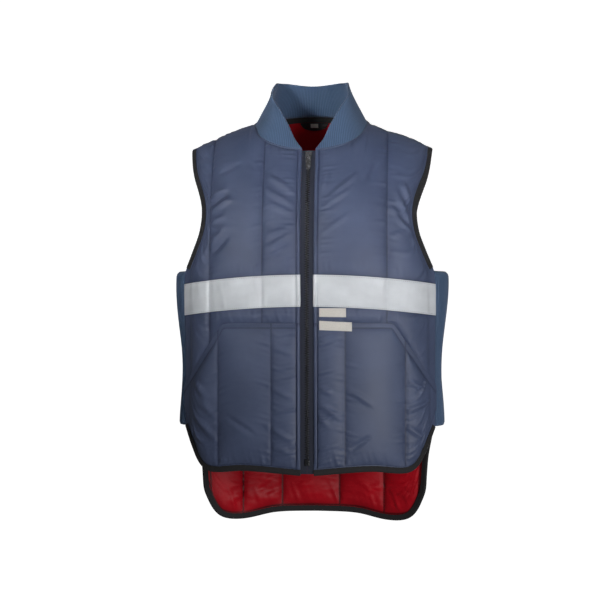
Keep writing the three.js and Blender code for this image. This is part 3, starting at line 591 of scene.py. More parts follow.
def pinned_cloth(name, net, pinned, turned):
    """A cloth object on a net: stitched points pinned, cut a little larger than the place it is sewn to."""
    mesh = make_mesh(name, net.reshape(-1, 3), grid_faces(*net.shape[:2], turned))
    cloth = bpy.data.objects.new(name, mesh)
    scene.collection.objects.link(cloth)
    cloth.vertex_groups.new(name="stitched").add(np.flatnonzero(pinned).tolist(), 1.0, "REPLACE")
    cloth.shape_key_add(name="sewn")
    cut = cloth.shape_key_add(name="cut")
    cut.data.foreach_set("co", (net * SPARE_LENGTH).astype(np.float32).ravel())
    modifier = cloth.modifiers.new("swell", "CLOTH")
    modifier.collision_settings.use_collision = False
    modifier.point_cache.frame_end = SWELL_FRAMES
    settings = modifier.settings
    settings.quality = 6
    settings.vertex_group_mass = "stitched"
    settings.rest_shape_key = cut
    settings.use_pressure = True
    settings.uniform_pressure_force = PRESSURE
    settings.effector_weights.gravity = 0
    settings.bending_stiffness = 0.3
    return cloth


def swell(jobs):
    cloths = [pinned_cloth(*job) for job in jobs]
    for number in range(1, SWELL_FRAMES + 1):
        scene.frame_set(number)
    seen = bpy.context.evaluated_depsgraph_get()
    settled = []
    for cloth, job in zip(cloths, jobs):
        flat = np.empty(job[1].size, dtype=np.float32)
        cloth.evaluated_get(seen).data.vertices.foreach_get("co", flat)
        settled.append(flat.reshape(job[1].shape).astype(float))
    scene.frame_set(1)
    for cloth in cloths:
        mesh = cloth.data
        bpy.data.objects.remove(cloth)
        bpy.data.meshes.remove(mesh)
    return settled


# %% [markdown]
# ## Fronts, back, linings and pockets
# The quilting is upright channels. Padding is nothing on a stitched line and full between two of them, less
# in a narrow channel, and it is held down where the chest tape and the pocket are sewn on. These starting
# shapes are what the cloth solver then blows up.

# %% Lines that cross the panels
POCKET_HEM = 7 * MM
# Heights and distances in mm: the pocket's level top, where its slanted opening begins, and how wide and
# deep the slant is.
POCKET_TOP, POCKET_CORNER = -324, 135
SLANT_WIDTH, SLANT_DROP = 63, 96
CORNER_ROUNDING = 0.002
TAPE_TOP, TAPE_WIDTH = -247.5, 50
FRONT_HALF = 201 * MM


def above(line, width):
    """A line that stays a width above a sloping one, measured square to it."""
    step = 0.5 * MM

    def at(x):
        slope = (line(x) - line(np.maximum(x - step, 0))) / step
        return line(x) + width * np.hypot(1, slope)

    return at


def sagging(middle, sag=14):
    """A crossing line that drops towards the sides with the square of the distance."""
    return lambda x: (middle - sag * (x / FRONT_HALF) ** 2) * MM


def pocket_top(x):
    """Level over the belly, then slanting down to the side seam, with a slightly rounded corner."""
    along = (x - POCKET_CORNER * MM) / (SLANT_WIDTH * MM)
    return (POCKET_TOP - SLANT_DROP * 0.5 * (along + np.sqrt(along**2 + CORNER_ROUNDING))) * MM


def neckline(face):
    """The top edge of the front or the back as a crossing line."""
    return lambda x: top_edge(x, face)[1]


tape_low, tape_high = sagging(TAPE_TOP - TAPE_WIDTH), sagging(TAPE_TOP)

# %% Padding before it swells
EDGE_OUT = 1.35 * MM
PUFF_POWER = 0.6
PUFF_WIDTH = 60 * MM
EDGE_FADE = 12 * MM


def padding_share(net, edges, padded, flat):
    """Sine across each strip, times a rise away from the crossing lines whose own shares are the edges."""
    edges, padded = np.array(edges), np.array(padded, dtype=bool)
    width = np.diff(net.uv[net.columns, :, 0], axis=0)[net.strip]
    across = np.sin(np.pi * net.share)[:, None] ** PUFF_POWER * np.minimum(1, width / PUFF_WIDTH)
    across[np.isin(net.strip, flat)] = 0
    heights = net.uv[:, net.rows, 1]
    up = net.uv[..., 1]
    nearest = np.minimum(up - heights[:, net.band], heights[:, net.band + 1] - up)
    held = edges[net.band] + (edges[net.band + 1] - edges[net.band]) * net.rise
    fill = np.where(padded[net.band], 1 - np.exp(-nearest / EDGE_FADE), 0)
    return across * (held + (1 - held) * fill)


def stitched_points(net, padded, flat):
    """True on stitched lines, in flat strips and in bands that another piece holds down."""
    columns = (net.share == 0) | (net.share == 1) | np.isin(net.strip, flat)
    rows = (net.rise == 0) | (net.rise == 1) | ~np.array(padded, dtype=bool)[net.band]
    return columns[:, None] | rows


def raised(net, height):
    """The net's points moved out along their normals."""
    return net.points + net.normals * np.asarray(height)[..., None]


# %% [markdown]
# Worn cloth also drags: soft folds run from the zip across the chest and the pockets, from the armholes
# inwards, and over the tail's lining. Each fold is one row of a table: a line on the panel and a share of
# the full height. The solver blows them up with the rest, which makes their ends and crossings natural.

# %% Drag folds
FOLD_WIDTH, FOLD_HEIGHT = 6.5 * MM, 3.4 * MM
FOLD_FURROW = 1.6
FOLD_OVERRUN = 0.1
FOLD_FADE = 1.7
# Each row: distance from the middle and height where a fold starts, the same where it ends (mm), and a
# share of the full height, below nothing for a furrow. The tail's distances count to the right.
CHEST_FOLDS = {
    "left": (
        (66, -91, 18, -119, 1.0),
        (68, -113, 18, -141, 1.0),
        (65, -135, 21, -152, 0.8),
        (66, -187, 21, -174, 0.9),
        (63, -209, 21, -180, 1.0),
        (66, -227, 26, -202, 0.7),
        (170, -128, 128, -112, 1.3),
        (168, -151, 121, -128, 1.3),
        (165, -170, 128, -152, 0.9),
        (168, -214, 130, -172, 1.3),
        (164, -141, 124, -118, -1.5),
        (160, -222, 122, -186, -1.3),
        (186, -62, 152, -76, 0.8),
        (150, -90, 100, -70, -0.8),
    ),
    "right": (
        (82, -88, 24, -135, 1.2),
        (68, -112, 18, -147, 1.1),
        (47, -141, 16, -158, 0.9),
        (34, -84, 24, -114, 0.7),
        (70, -150, 20, -186, 0.6),
        (125, -134, 152, -168, 1.0),
        (135, -112, 163, -168, 1.2),
        (135, -157, 172, -184, 1.1),
        (146, -100, 166, -140, 1.0),
        (122, -190, 162, -176, 0.8),
        (158, -186, 194, -217, 1.0),
        (134, -146, 170, -177, -1.3),
        (112, -60, 90, -110, -0.7),
    ),
}
POCKET_FOLDS = {
    "left": (
        (58, -360, 20, -372, 0.8),
        (60, -424, 18, -443, 1.0),
        (66, -484, 20, -510, 1.0),
        (64, -514, 20, -530, 0.8),
        (186, -410, 158, -446, 1.0),
        (182, -468, 140, -514, 1.2),
        (168, -448, 142, -478, 0.9),
        (190, -492, 162, -518, 1.0),
        (130, -470, 80, -500, -0.8),
    ),
    "right": (
        (18, -354, 56, -344, 0.9),
        (18, -424, 40, -435, 1.0),
        (18, -450, 54, -474, 1.1),
        (18, -473, 34, -485, 0.8),
        (60, -424, 104, -455, 0.7),
        (154, -414, 180, -430, 0.8),
        (150, -466, 194, -445, 1.2),
        (150, -485, 190, -513, 1.0),
        (100, -500, 60, -528, -0.8),
    ),
}
TAIL_FOLDS = (
    (-158, -606, -110, -600, 0.9),
    (-153, -631, -110, -613, 1.0),
    (-104, -588, -49, -603, 1.0),
    (-104, -610, -73, -613, -1.2),
    (-98, -631, -49, -621, 0.9),
    (-38, -606, 5, -598, 0.9),
    (-19, -618, 42, -610, 1.0),
    (66, -591, 102, -610, 0.9),
    (72, -618, 127, -600, 1.1),
    (132, -588, 190, -579, 1.1),
    (132, -597, 192, -606, 1.2),
    (132, -610, 186, -625, 1.0),
)


def drag_folds(net, rows, sign):
    """Sum of folds: a bell across each line with a shallow furrow beside it, faded out at both ends."""
    place = np.stack([sign * net.points[..., 0], net.points[..., 2]], axis=-1)
    height = np.zeros(place.shape[:2])
    for from_x, from_z, to_x, to_z, share in rows:
        start, end = np.array([from_x, from_z]) * MM, np.array([to_x, to_z]) * MM
        along = (end - start) / np.linalg.norm(end - start)
        t = (place - start) @ along / np.linalg.norm(end - start)
        aside = (place - start) @ np.array([-along[1], along[0]]) / FOLD_WIDTH
        ends = 4 * (t + FOLD_OVERRUN) * (1 + FOLD_OVERRUN - t) / (1 + 2 * FOLD_OVERRUN) ** 2
        ends = np.clip(ends, 0, 1) ** FOLD_FADE
        height += share * ends * np.cos(FOLD_FURROW * aside) * np.exp(-(aside**2))
    return FOLD_HEIGHT * height


# %% Front and pocket nets
PLACKET_EDGE, PLACKET_STITCH = 10.7 * MM, 17 * MM
WELT = 2.0 * MM
SHELL_PADDING = 5.5 * MM
POCKET_SEAT = EDGE_OUT + 1.0 * MM
POCKET_EDGE = POCKET_SEAT + 1.3 * MM
POCKET_PADDING = 4.5 * MM
FRONT_EDGES, FRONT_PADDED = (0, 0, 0.1, 0.35, 0.35, 0), (0, 0, 1, 1, 1)
FRONT_ROW_STEPS = np.array([5, 12, 4, 4, 4]) * MM
SIDES = (
    SimpleNamespace(name="left", sign=-1, quilt=(71, 157), pocket_quilt=(56, 142)),
    SimpleNamespace(name="right", sign=1, quilt=(125,), pocket_quilt=(60, 153)),
)


def front_edge(z):
    """The line where the seam allowance at a front's side begins."""
    return front_side(z) - SEAM


def front_lines(quilt):
    """The upright lines of a front: the placket, its stitching, the quilting, and the side with its seam."""
    sewn = [level(x * MM) for x in quilt]
    return [level(PLACKET_EDGE), level(PLACKET_STITCH), *sewn, front_edge, front_side]


for side in SIDES:
    lines = front_lines(side.quilt)
    crossing = [front_hem, above(front_hem, SEAM), pocket_top, tape_low, tape_high, neckline(FRONT)]
    widths = np.array([1.05, *[4] * len(side.quilt), 4, 5]) * MM
    side.net = panel_net(lines, crossing, FRONT, side.sign, widths, FRONT_ROW_STEPS, ease=1.4)
    side.flat = (0, len(lines) - 2)
    share = padding_share(side.net, FRONT_EDGES, FRONT_PADDED, side.flat)
    welt = np.where(side.net.strip == 0, np.sin(np.pi * side.net.share) ** PUFF_POWER, 0)
    welt = welt[:, None] * np.clip(side.net.uv[..., 1] / SEAM - 1, 0, 1)
    folds = drag_folds(side.net, CHEST_FOLDS[side.name], side.sign) * np.sqrt(share)
    height = EDGE_OUT + SHELL_PADDING * share + folds + WELT * welt
    pins = stitched_points(side.net, FRONT_PADDED, side.flat)
    side.job = (f"swell_front_{side.name}", raised(side.net, height), pins, side.net.turned)

    lines = front_lines(side.pocket_quilt)[1:]
    crossing = [above(front_hem, SEAM), above(pocket_top, -POCKET_HEM), pocket_top]
    side.pocket = panel_net(lines, crossing, FRONT, side.sign, gauge=(-450, 100))
    side.pocket_flat = (len(lines) - 2,)
    share = padding_share(side.pocket, (0, 0, 0), (1, 0), side.pocket_flat)
    folds = drag_folds(side.pocket, POCKET_FOLDS[side.name], side.sign) * np.sqrt(share)
    height = POCKET_EDGE + POCKET_PADDING * share + folds
    pins = stitched_points(side.pocket, (1, 0), side.pocket_flat)
    start = raised(side.pocket, height)
    side.pocket_job = (f"swell_pocket_{side.name}", start, pins, side.pocket.turned)
    print(side.name, "front net", side.net.points.shape[:2], "pocket net", side.pocket.points.shape[:2])

# %% Back nets
BACK_QUILT = (-125, -58, 41, 118)
LINING_PADDING = 7.5 * MM
back_lines = [
    lambda z: -back_side(z),
    lambda z: SEAM - back_side(z),
    *(level(x * MM) for x in BACK_QUILT),
    lambda z: back_side(z) - SEAM,
    back_side,
]
back_crossing = [tail_hem, above(tail_hem, SEAM), neckline(BACK)]
back = panel_net(back_lines, back_crossing, BACK, 1, 5 * MM, 5 * MM, ease=1.3)
back_flat = (0, len(back_lines) - 2)
back_share = padding_share(back, (0, 0, 0), (0, 1), back_flat)
back_pins = stitched_points(back, (0, 1), back_flat)
back_job = ("swell_back", raised(back, EDGE_OUT + SHELL_PADDING * back_share), back_pins, back.turned)
tail_folds = drag_folds(back, TAIL_FOLDS, 1) * np.sqrt(back_share)
lining_start = raised(back, -EDGE_OUT - LINING_PADDING * back_share - tail_folds)
lining_job = ("swell_back_lining", lining_start, back_pins, not back.turned)
print("back net", back.points.shape[:2])

# %% Swell everything
jobs = [side.job for side in SIDES] + [side.pocket_job for side in SIDES] + [back_job, lining_job]
swollen = dict(zip([job[0] for job in jobs], swell(jobs)))


def kept_in(net, settled, lowest, highest, slide=2.5 * MM):
    """Swollen cloth kept between two heights over the net, and from sliding far along it."""
    moved = settled - net.points
    height = np.sum(moved * net.normals, axis=-1)
    along = moved - net.normals * height[..., None]
    length = np.linalg.norm(along, axis=-1, keepdims=True)
    along *= np.minimum(1, slide / np.maximum(length, 1e-9))
    return net.points + along + net.normals * np.clip(height, lowest, highest)[..., None]


for name, net in swollen.items():
    box = net.min(axis=(0, 1)), net.max(axis=(0, 1))
    print(name, "box", [np.round(corner, 3).tolist() for corner in box])


# %% [markdown]
# The thread gathers the cloth a little, so short tucks stand beside every stitched line. They are sums of
# sines along the line, nothing on the line itself, highest about a centimetre away and gone after a few
# centimetres. They are added after the net is doubled, because they are finer than the solver's cells.

# %% Gathers and finished padded pieces
GATHER_WAVES = ((7.5, 0.45), (11.0, 0.45), (18.0, 0.4))
# Reach and height of the tucks (mm), how much their waves are stretched, and how dark the seam line and the
# painted shade beside it are drawn.
PLACKET_TUCKS, QUILT_TUCKS = (7.0, 1.55, 1.0, 1.0), (5.5, 1.0, 1.2, 1.0)
SIDE_TUCKS, LINING_TUCKS = (13.0, 1.9, 1.9, 0.3), (11.0, 1.8, 1.5, 1.3)
LEVEL_SEAM = (5.5, 0.0, 1.2, 1.0)
LEVEL_FADE = 5
SLOW_WAVE = 61 * MM
OTHER_SIDE_SHIFT = 29 * MM
SEAM_LINE, SEAM_SHADE = 1.2 * MM, 6 * MM


def gathers(uv, lines, seed):
    """Height of the tucks, and the seam's darkness: darkest on the lines, with painted shade fading out
    beside them.
    """
    draw = np.random.default_rng(seed)
    height = np.zeros(uv.shape[:2])
    drawn = np.zeros(uv.shape[:2])
    for axis, number, (reach, tall, stretch, dark) in lines:
        aside = uv[..., axis] - np.take(uv[..., axis], [2 * number], axis=axis)
        distance = np.abs(aside)
        along = uv[..., 1 - axis] + draw.uniform(-0.3, 0.3) * aside
        along = along + np.where(aside > 0, OTHER_SIDE_SHIFT, 0)
        slow = 0.55 + 0.45 * np.sin(along * (2 * np.pi / SLOW_WAVE) + draw.uniform(0, 6.3))
        turns = 2 * np.pi * along / (stretch * MM)
        waves = sum(share * np.sin(turns / wave + draw.uniform(0, 6.3)) for wave, share in GATHER_WAVES)
        away = distance / (reach * MM)
        height += tall * MM * slow * waves * away * np.exp(1 - away)
        # The narrow term is the dark seam line itself; the broad one is painted shade beside the seam.
        seam_and_painted_shade = np.maximum(np.exp(-distance / SEAM_LINE), 0.4 * np.exp(-distance / SEAM_SHADE))
        drawn = np.maximum(drawn, dark * seam_and_painted_shade)
    return np.where(height < 0, 0.4 * height, height), drawn


def padded_piece(node, net, settled, seat, lines, seed, inside=False, rows=(), columns=()):
    """Doubles a settled net, adds the gathers beside its lines and closes it down to its seat. The given
    stretches of rows and columns, as pairs of a first and a last, lie under another piece and stay level,
    and the tucks fade out over a few cells beside them."""
    turned = net.turned != inside
    finish, slot = (lining_nylon, "lining_nylon") if inside else (shell_nylon, "shell_nylon")
    hidden = raised(net, np.full(settled.shape[:2], seat))
    uv = doubled(net.uv)
    height, drawn = gathers(uv, lines, seed)
    for axis, stretches in enumerate((columns, rows)):
        number = np.arange(height.shape[axis])
        for low, high in stretches:
            free = np.clip(np.maximum(2 * low - number, number - 2 * high) / LEVEL_FADE, 0, 1)
            height *= np.expand_dims(free, 1 - axis)
    smooth = doubled(settled)
    outer = smooth + grid_normals(smooth, turned) * height[..., None]
    mesh = padded_mesh(f"quilted_{node}", outer, hidden, uv, turned)
    # The seam numbers are dark seam lines with painted shade beside them.
    add_numbers(mesh, "seam", drawn)
    piece = add_piece(f"quilted_{node}", mesh, finish, [node], sharp=60)
    normals = grid_normals(outer, turned)
    return SimpleNamespace(piece=piece, outer=outer, smooth=smooth, normals=normals, turned=turned)


def tucked(columns, rows, first, last, rest=QUILT_TUCKS):
    """Lines with tucks beside them: the first and last upright ones have their own, the others share one."""
    kinds = [first, *[rest] * (len(columns) - 2), last]
    return [(0, *pair) for pair in zip(columns, kinds)] + [(1, number, rest) for number in rows]


def bound_sides(net):
    """The first and the last strip of a net, which stay free of tucks."""
    return [net.columns[:2], net.columns[-2:]]


SHELL_SEAT = 0.15 * MM
SHELL_LOWEST = 0.8 * MM
FRONT_HIGHEST, BACK_HIGHEST, LINING_HIGHEST = EDGE_OUT + 9.5 * MM, EDGE_OUT + 8.5 * MM, EDGE_OUT + 13 * MM
POCKET_LOWEST, POCKET_HIGHEST = POCKET_EDGE - 0.3 * MM, POCKET_EDGE + 7.5 * MM
NECK_ROWS = 10
for seed, side in enumerate(SIDES):
    net = side.net
    settled = kept_in(net, swollen[side.job[0]], SHELL_LOWEST, FRONT_HIGHEST)
    lines = tucked(net.columns[1:-1], net.rows[2:], PLACKET_TUCKS, SIDE_TUCKS)
    level_rows = [net.rows[3:5], net.rows[:3:2]]
    side.shell = padded_piece(
        f"front_shell_{side.name}", net, settled, SHELL_SEAT, lines, seed, False, level_rows,
        bound_sides(net),
    )
    net = side.pocket
    settled = kept_in(net, swollen[side.pocket_job[0]], POCKET_LOWEST, POCKET_HIGHEST)
    lines = tucked(net.columns[:-1], net.rows[:1], PLACKET_TUCKS, SIDE_TUCKS)
    lines.append((1, net.rows[1], LEVEL_SEAM))
    side.patch = padded_piece(
        f"pocket_{side.name}", net, settled, POCKET_SEAT, lines, 10 + seed, False, [net.rows[1:]],
        [net.columns[-2:]],
    )

settled = kept_in(back, swollen["swell_back"], SHELL_LOWEST, BACK_HIGHEST)
lines = tucked(back.columns[1:-1], back.rows[1:], SIDE_TUCKS, SIDE_TUCKS)
hem_rows = [back.rows[:2]]
back_shell = padded_piece(
    "back_shell", back, settled, SHELL_SEAT, lines, 20, False, hem_rows, bound_sides(back)
)
settled = kept_in(back, swollen["swell_back_lining"], -LINING_HIGHEST, -SHELL_LOWEST)
lines = tucked(back.columns[1:-1], back.rows[1:], LINING_TUCKS, LINING_TUCKS, LINING_TUCKS)
level_rows = [*hem_rows, (back.rows[-1] - NECK_ROWS, back.rows[-1])]
back_lining = padded_piece(
    "back_lining", back, settled, -SHELL_SEAT, lines, 21, True, level_rows, bound_sides(back)
)


# %% [markdown]
# The linings of the fronts show only through the neck, the armholes and from below, so their quilting keeps
# the starting puff and isn't simulated.

# %% Front linings
LINING_ROW_STEPS = np.array([5, 7]) * MM
for seed, side in enumerate(SIDES):
    lines = front_lines(side.quilt)
    crossing = [front_hem, above(front_hem, SEAM), neckline(FRONT)]
    net = panel_net(lines, crossing, FRONT, side.sign, 7 * MM, LINING_ROW_STEPS, ease=1.3)
    share = padding_share(net, (0, 0, 0), (0, 1), (0, len(lines) - 2))
    puffed = raised(net, -EDGE_OUT - LINING_PADDING * share)
    lines = tucked(net.columns[1:-1], net.rows[1:], QUILT_TUCKS, LINING_TUCKS, LINING_TUCKS)
    side.lining = padded_piece(
        f"front_lining_{side.name}", net, puffed, -SHELL_SEAT, lines, 30 + seed, True, [net.rows[:2]],
        bound_sides(net),
    )
    side.lining_columns = net.columns[2:-2]
print("linings", [len(side.lining.piece.data.polygons) for side in SIDES], "faces")


# %% [markdown]
# ## Chest tape
# The reflective tape is sewn flat over the shell, so it is taken from the shell's own net between the two
# rows where it is stitched: the same points, lifted a little off the shell's cloth, with a wall round
# them. It follows every swell of the padding below and cannot float or sink. The thread puckers it a
# little along both sewn edges.

# %% Slabs and the chest tape
def slab_mesh(name, low, high, uv, turned):
    """A closed body between two nets of the same size."""
    columns, rows = low.shape[:2]
    count = columns * rows
    loop = border(np.arange(count).reshape(columns, rows))
    after = np.roll(loop, -1)
    wall = np.stack([loop + count, after + count, after, loop], axis=-1)
    faces = grid_faces(columns, rows, turned)
    under = grid_faces(columns, rows, not turned, count)
    points = np.concatenate([high.reshape(-1, 3), low.reshape(-1, 3)])
    mesh = make_mesh(name, points, faces, under, wall[:, ::-1] if turned else wall)
    add_uv(mesh, np.tile(uv.reshape(-1, 2), (2, 1)))
    return mesh


TAPE_GAP, TAPE_THICK = 0.25 * MM, 0.7 * MM
TAPE_PUCKERS = (8.0, 0.9, 1.9, 0.0)
for seed, side in enumerate(SIDES):
    first, last = side.net.rows[3:5]
    rows = slice(2 * first, 2 * last + 1)
    base, normals = side.shell.outer[:, rows], side.shell.normals[:, rows]
    edges = [(1, number, TAPE_PUCKERS) for number in (0, last - first)]
    pucker = np.maximum(gathers(arc_lengths(base), edges, 70 + seed)[0], 0)[..., None]
    low, high = base + normals * (TAPE_GAP + pucker), base + normals * (TAPE_GAP + TAPE_THICK + pucker)
    uv = arc_lengths(high)
    name = f"chest_tape_{side.name}"
    mesh = slab_mesh(name, low, high, uv, side.shell.turned)
    side.tape = SimpleNamespace(outer=high, normals=normals)
    replaced = [f"reflective_tape_{side.name}"]
    piece = add_piece(name, mesh, tape_finish, replaced, sharp=50)
    size = uv[-1, 0, 0], float(np.mean(uv[:, -1, 1]))
    print(name, "cut", [round(float(value), 3) for value in size])


# %% [markdown]
# ## Knitted ribs
# The side inserts and the collar are one-by-one rib knit about 4 mm thick. The relief is in the mesh: a
# rounded wave across the knit, with a fixed real pitch, so that a rib keeps its width where the piece bends.

# %% Rib relief and side inserts
RIB_PITCH = 3.2 * MM
RIB_DEPTH = 1.1 * MM
POINTS_PER_RIB = 6
RIB_HALF = 2.0 * MM
INSERT_FOOT, ARM_BASE = -490 * MM, -240 * MM
INSERT_HELD = 6 * MM
INSERT_SAG, SAG_UP, SAG_ACROSS = 1.2 * MM, 29 * MM, 24 * MM
TOP_DIP, TOP_REACH = 3 * MM, 9 * MM


def rib_wave(across, pitch=RIB_PITCH):
    """Height of a rib from 0 in the furrow to 1 on the crest: a cosine made rounder by a power below 1."""
    return (0.5 - 0.5 * np.cos(2 * np.pi * across / pitch)) ** 0.7


def insert_net(sign):
    """Points of a side insert: part of an ellipse at each height, from the front's edge to the back's."""
    z = np.linspace(INSERT_FOOT, ARM_BASE, 64)
    half = torso_half(z)
    margin = 0.8 * MM / torso_front(z)
    start = -np.arccos(front_side(z) / half) + margin
    end = np.arccos(back_side(z) / half) - margin
    share = np.linspace(0, 1, 140)[:, None]
    turn = start + (end - start) * share
    depth = np.where(turn < 0, torso_front(z), torso_back(z))
    y = np.sign(turn) * depth * np.abs(np.sin(turn)) ** RING_POWER
    return np.stack([sign * half * np.cos(turn), y, np.broadcast_to(z, turn.shape)], axis=-1)


for side in SIDES:
    net = insert_net(side.sign)
    turned = side.sign < 0
    normals = grid_normals(net, turned)
    uv = arc_lengths(net)
    width = float(np.mean(uv[-1, :, 0]))
    ribs = round(width / RIB_PITCH)
    across = uv[..., 0] / uv[-1:, :, 0] * ribs * RIB_PITCH
    ridge = rib_wave(across)
    from_edge = np.minimum(uv[..., 0], uv[-1:, :, 0] - uv[..., 0])
    from_top = uv[:, -1:, 1] - uv[..., 1]
    held = np.clip(from_edge / INSERT_HELD, 0, 1)
    sag = INSERT_SAG * np.sin(uv[..., 1] / SAG_UP + 2.2 * np.sin(uv[..., 0] / SAG_ACROSS)) * held
    sag = sag - TOP_DIP * held * np.clip(1 - from_top / TOP_REACH, 0, 1) ** 2
    rounded = np.clip(np.minimum(from_top, uv[..., 1]) / (3 * MM), 0.35, 1)
    half = (EDGE_OUT + (RIB_HALF - EDGE_OUT) * held) * rounded
    relief = (ridge - 0.7) * RIB_DEPTH * (0.3 + 0.7 * held) * rounded
    high = net + normals * (sag + half + relief)[..., None]
    low = net + normals * (sag - half)[..., None]
    name = f"knit_insert_{side.name}"
    mesh = slab_mesh(name, low, high, np.stack([across, uv[..., 1]], -1), turned)
    add_numbers(mesh, "ridge", ridge)
    piece = add_piece(name, mesh, knit_finish, [f"side_rib_{side.name}"], sharp=70)
    size = width, float(np.mean(uv[:, -1, 1]))
    print(name, ribs, "ribs, cut", [round(value, 3) for value in size])

# %% [markdown]
# The collar stands on the neckline and leans in. Its section is a closed loop that goes up the outside, over
# a rounded rim and down the inside, where it hangs a little lower and covers the seam. The loop's height and
# lean change with the angle round the neck, and its stations are spaced by arc length, so that the ribs are
# equally wide all the way round.

# %% Collar
COLLAR_ANGLE = (6, 15, 25, 45, 90, 135, 180, 225)
collar_height = curve(COLLAR_ANGLE, (3, 17, 40, 66, 68, 56, 46, 56), place_unit=1)
collar_lean = curve(COLLAR_ANGLE, (0, 4, 8, 13, 33, 20, 14, 20), place_unit=1)
COLLAR_LIFT = 1.1 * MM
COLLAR_HALF = 2.3 * MM
COLLAR_FACING, FACING_GAP = 4.5 * MM, 1.2 * MM
COLLAR_ROLL = 1.5 * MM
# Heights from which the collar has its full thickness and stands on its own.
FULL_THICKNESS_AT, UPRIGHT_AT = 12 * MM, 40 * MM
LEAN_POWER = 1.4
COLLAR_ROWS = 16
RIM_ROWS = 6


def neck_path(turn):
    """The neckline at an angle round the neck, 0 at the front, as x, y and z."""
    across = np.sin(turn) * NECK_HALF * 0.999999
    front_y, front_z = top_edge(across, FRONT)
    back_y, back_z = top_edge(across, BACK)
    behind = np.cos(turn) < 0
    y, z = np.where(behind, back_y, front_y), np.where(behind, back_z, front_z)
    return np.stack([across, y, z], axis=-1)


def even_turns(count):
    """Angles round the neck from the left placket, past the back, to the right one, at equal arc lengths."""
    gap = math.asin(PLACKET_EDGE / NECK_HALF)
    turn = np.linspace(-gap, gap - 2 * math.pi, 4000)
    steps = np.linalg.norm(np.diff(neck_path(turn), axis=0, prepend=neck_path(turn[:1])), axis=-1)
    length = np.cumsum(steps)
    return np.interp(np.linspace(0, length[-1], count), length, turn), length[-1]


def collar_mesh():
    """Wall from seat to rim: lean x (1 - (1 - v)^power) inwards, its thickness rounded off at the rim."""
    length = even_turns(2)[1]
    ribs = round(length / RIB_PITCH)
    turn, _ = even_turns(ribs * POINTS_PER_RIB + 1)
    degrees = np.degrees(np.abs((turn + math.pi) % (2 * math.pi) - math.pi))[:, None]
    tall = collar_height(degrees)
    standing = np.minimum(1, tall / UPRIGHT_AT)
    seat = neck_path(turn)[:, None]
    out = seat * (1, 1, 0)
    out = out / np.linalg.norm(out, axis=-1, keepdims=True)
    up = np.linspace(0, 1, COLLAR_ROWS)
    over = np.linspace(0, np.pi, RIM_ROWS + 2)[1:-1]
    v = np.concatenate([up, np.ones(RIM_ROWS), up[::-1]])
    thick = np.concatenate([np.ones(COLLAR_ROWS), np.cos(over), -np.ones(COLLAR_ROWS)])
    rim = np.concatenate([np.zeros(COLLAR_ROWS), np.sin(over), np.zeros(COLLAR_ROWS)])
    across = np.linspace(0, ribs * RIB_PITCH, len(turn))[:, None]
    ridge = rib_wave(across) * np.ones_like(v)
    roll = np.sin(np.pi * np.clip(v, 0, 1)) * COLLAR_ROLL
    half = COLLAR_HALF * (0.55 + 0.45 * np.minimum(1, 3 * v)) + (ridge - 0.6) * RIB_DEPTH * 0.5
    half = half * np.minimum(1, tall / FULL_THICKNESS_AT)
    facing = np.where(thick < 0, np.clip(1 - v / 0.25, 0, 1), 0) * standing
    lean = collar_lean(degrees) * (1 - (1 - v) ** LEAN_POWER) - roll * standing
    outwards = half * thick - lean - FACING_GAP * facing
    rise = COLLAR_LIFT + (tall - COLLAR_HALF) * v + half * rim - COLLAR_FACING * facing
    net = seat + out * outwards[..., None] + np.array([0, 0, 1]) * rise[..., None]
    mesh = make_mesh("knit_collar", net.reshape(-1, 3), *section_faces(*net.shape[:2]))
    add_uv(mesh, np.stack([across * np.ones_like(v), rise * np.sign(thick)], -1).reshape(-1, 2))
    add_numbers(mesh, "ridge", ridge)
    return mesh, (float(length), float(np.mean(tall)))


mesh, size = collar_mesh()
collar_piece = add_piece("knit_collar", mesh, knit_finish, ["collar"])
print("collar cut", [round(value, 3) for value in size])


# %% [markdown]
# ## Bindings
# A folded strip holds every raw edge of the panels: armholes, front hems and tail. Its section is a U with
# two legs and a round fold, carried along the edge. At each station the section stands on the panel's own
# directions there, inwards and outwards, which are averaged along the way so that corners turn softly.

# %% Paths along edges
BINDING_STEP = 3.0 * MM


def unit(vectors):
    """Vectors of length 1 in the same directions."""
    return vectors / np.maximum(np.linalg.norm(vectors, axis=-1, keepdims=True), 1e-12)


def averaged(values, reach):
    """Moving average along a path over a few stations on either side, twice."""
    for _ in range(2):
        before = 2 * values[:1] - values[reach:0:-1]
        after = 2 * values[-1:] - values[-2 : -reach - 2 : -1]
        padded = np.concatenate([before, values, after])
        total = np.cumsum(np.concatenate([np.zeros((1, 3)), padded]), axis=0)
        values = (total[2 * reach + 1 :] - total[: -2 * reach - 1]) / (2 * reach + 1)
    return values


def even_path(points, carried, step):
    """A path resampled at equal steps, with the vectors carried along it resampled the same way."""
    length = np.cumsum(np.linalg.norm(np.diff(points, axis=0, prepend=points[:1]), axis=-1))
    places = np.linspace(0, length[-1], max(8, round(length[-1] / step)) + 1)

    def pick(values):
        return np.stack([np.interp(places, length, values[:, k]) for k in range(3)], axis=-1)

    return pick(points), [pick(values) for values in carried], places


def facing_out(mesh):
    """Recalculates the normals of a closed mesh so that its faces point outwards."""
    work = bmesh.new()
    work.from_mesh(mesh)
    bmesh.ops.recalc_face_normals(work, faces=work.faces)
    work.to_mesh(mesh)
    work.free()
    return mesh


# %% Folded strips
FOLD = 2.7 * MM
STRIP_WALL = 0.9 * MM
STRIP_LEG = 8.5 * MM
FOLD_CENTRE = 1.3 * MM
STITCHED_ROW = 1


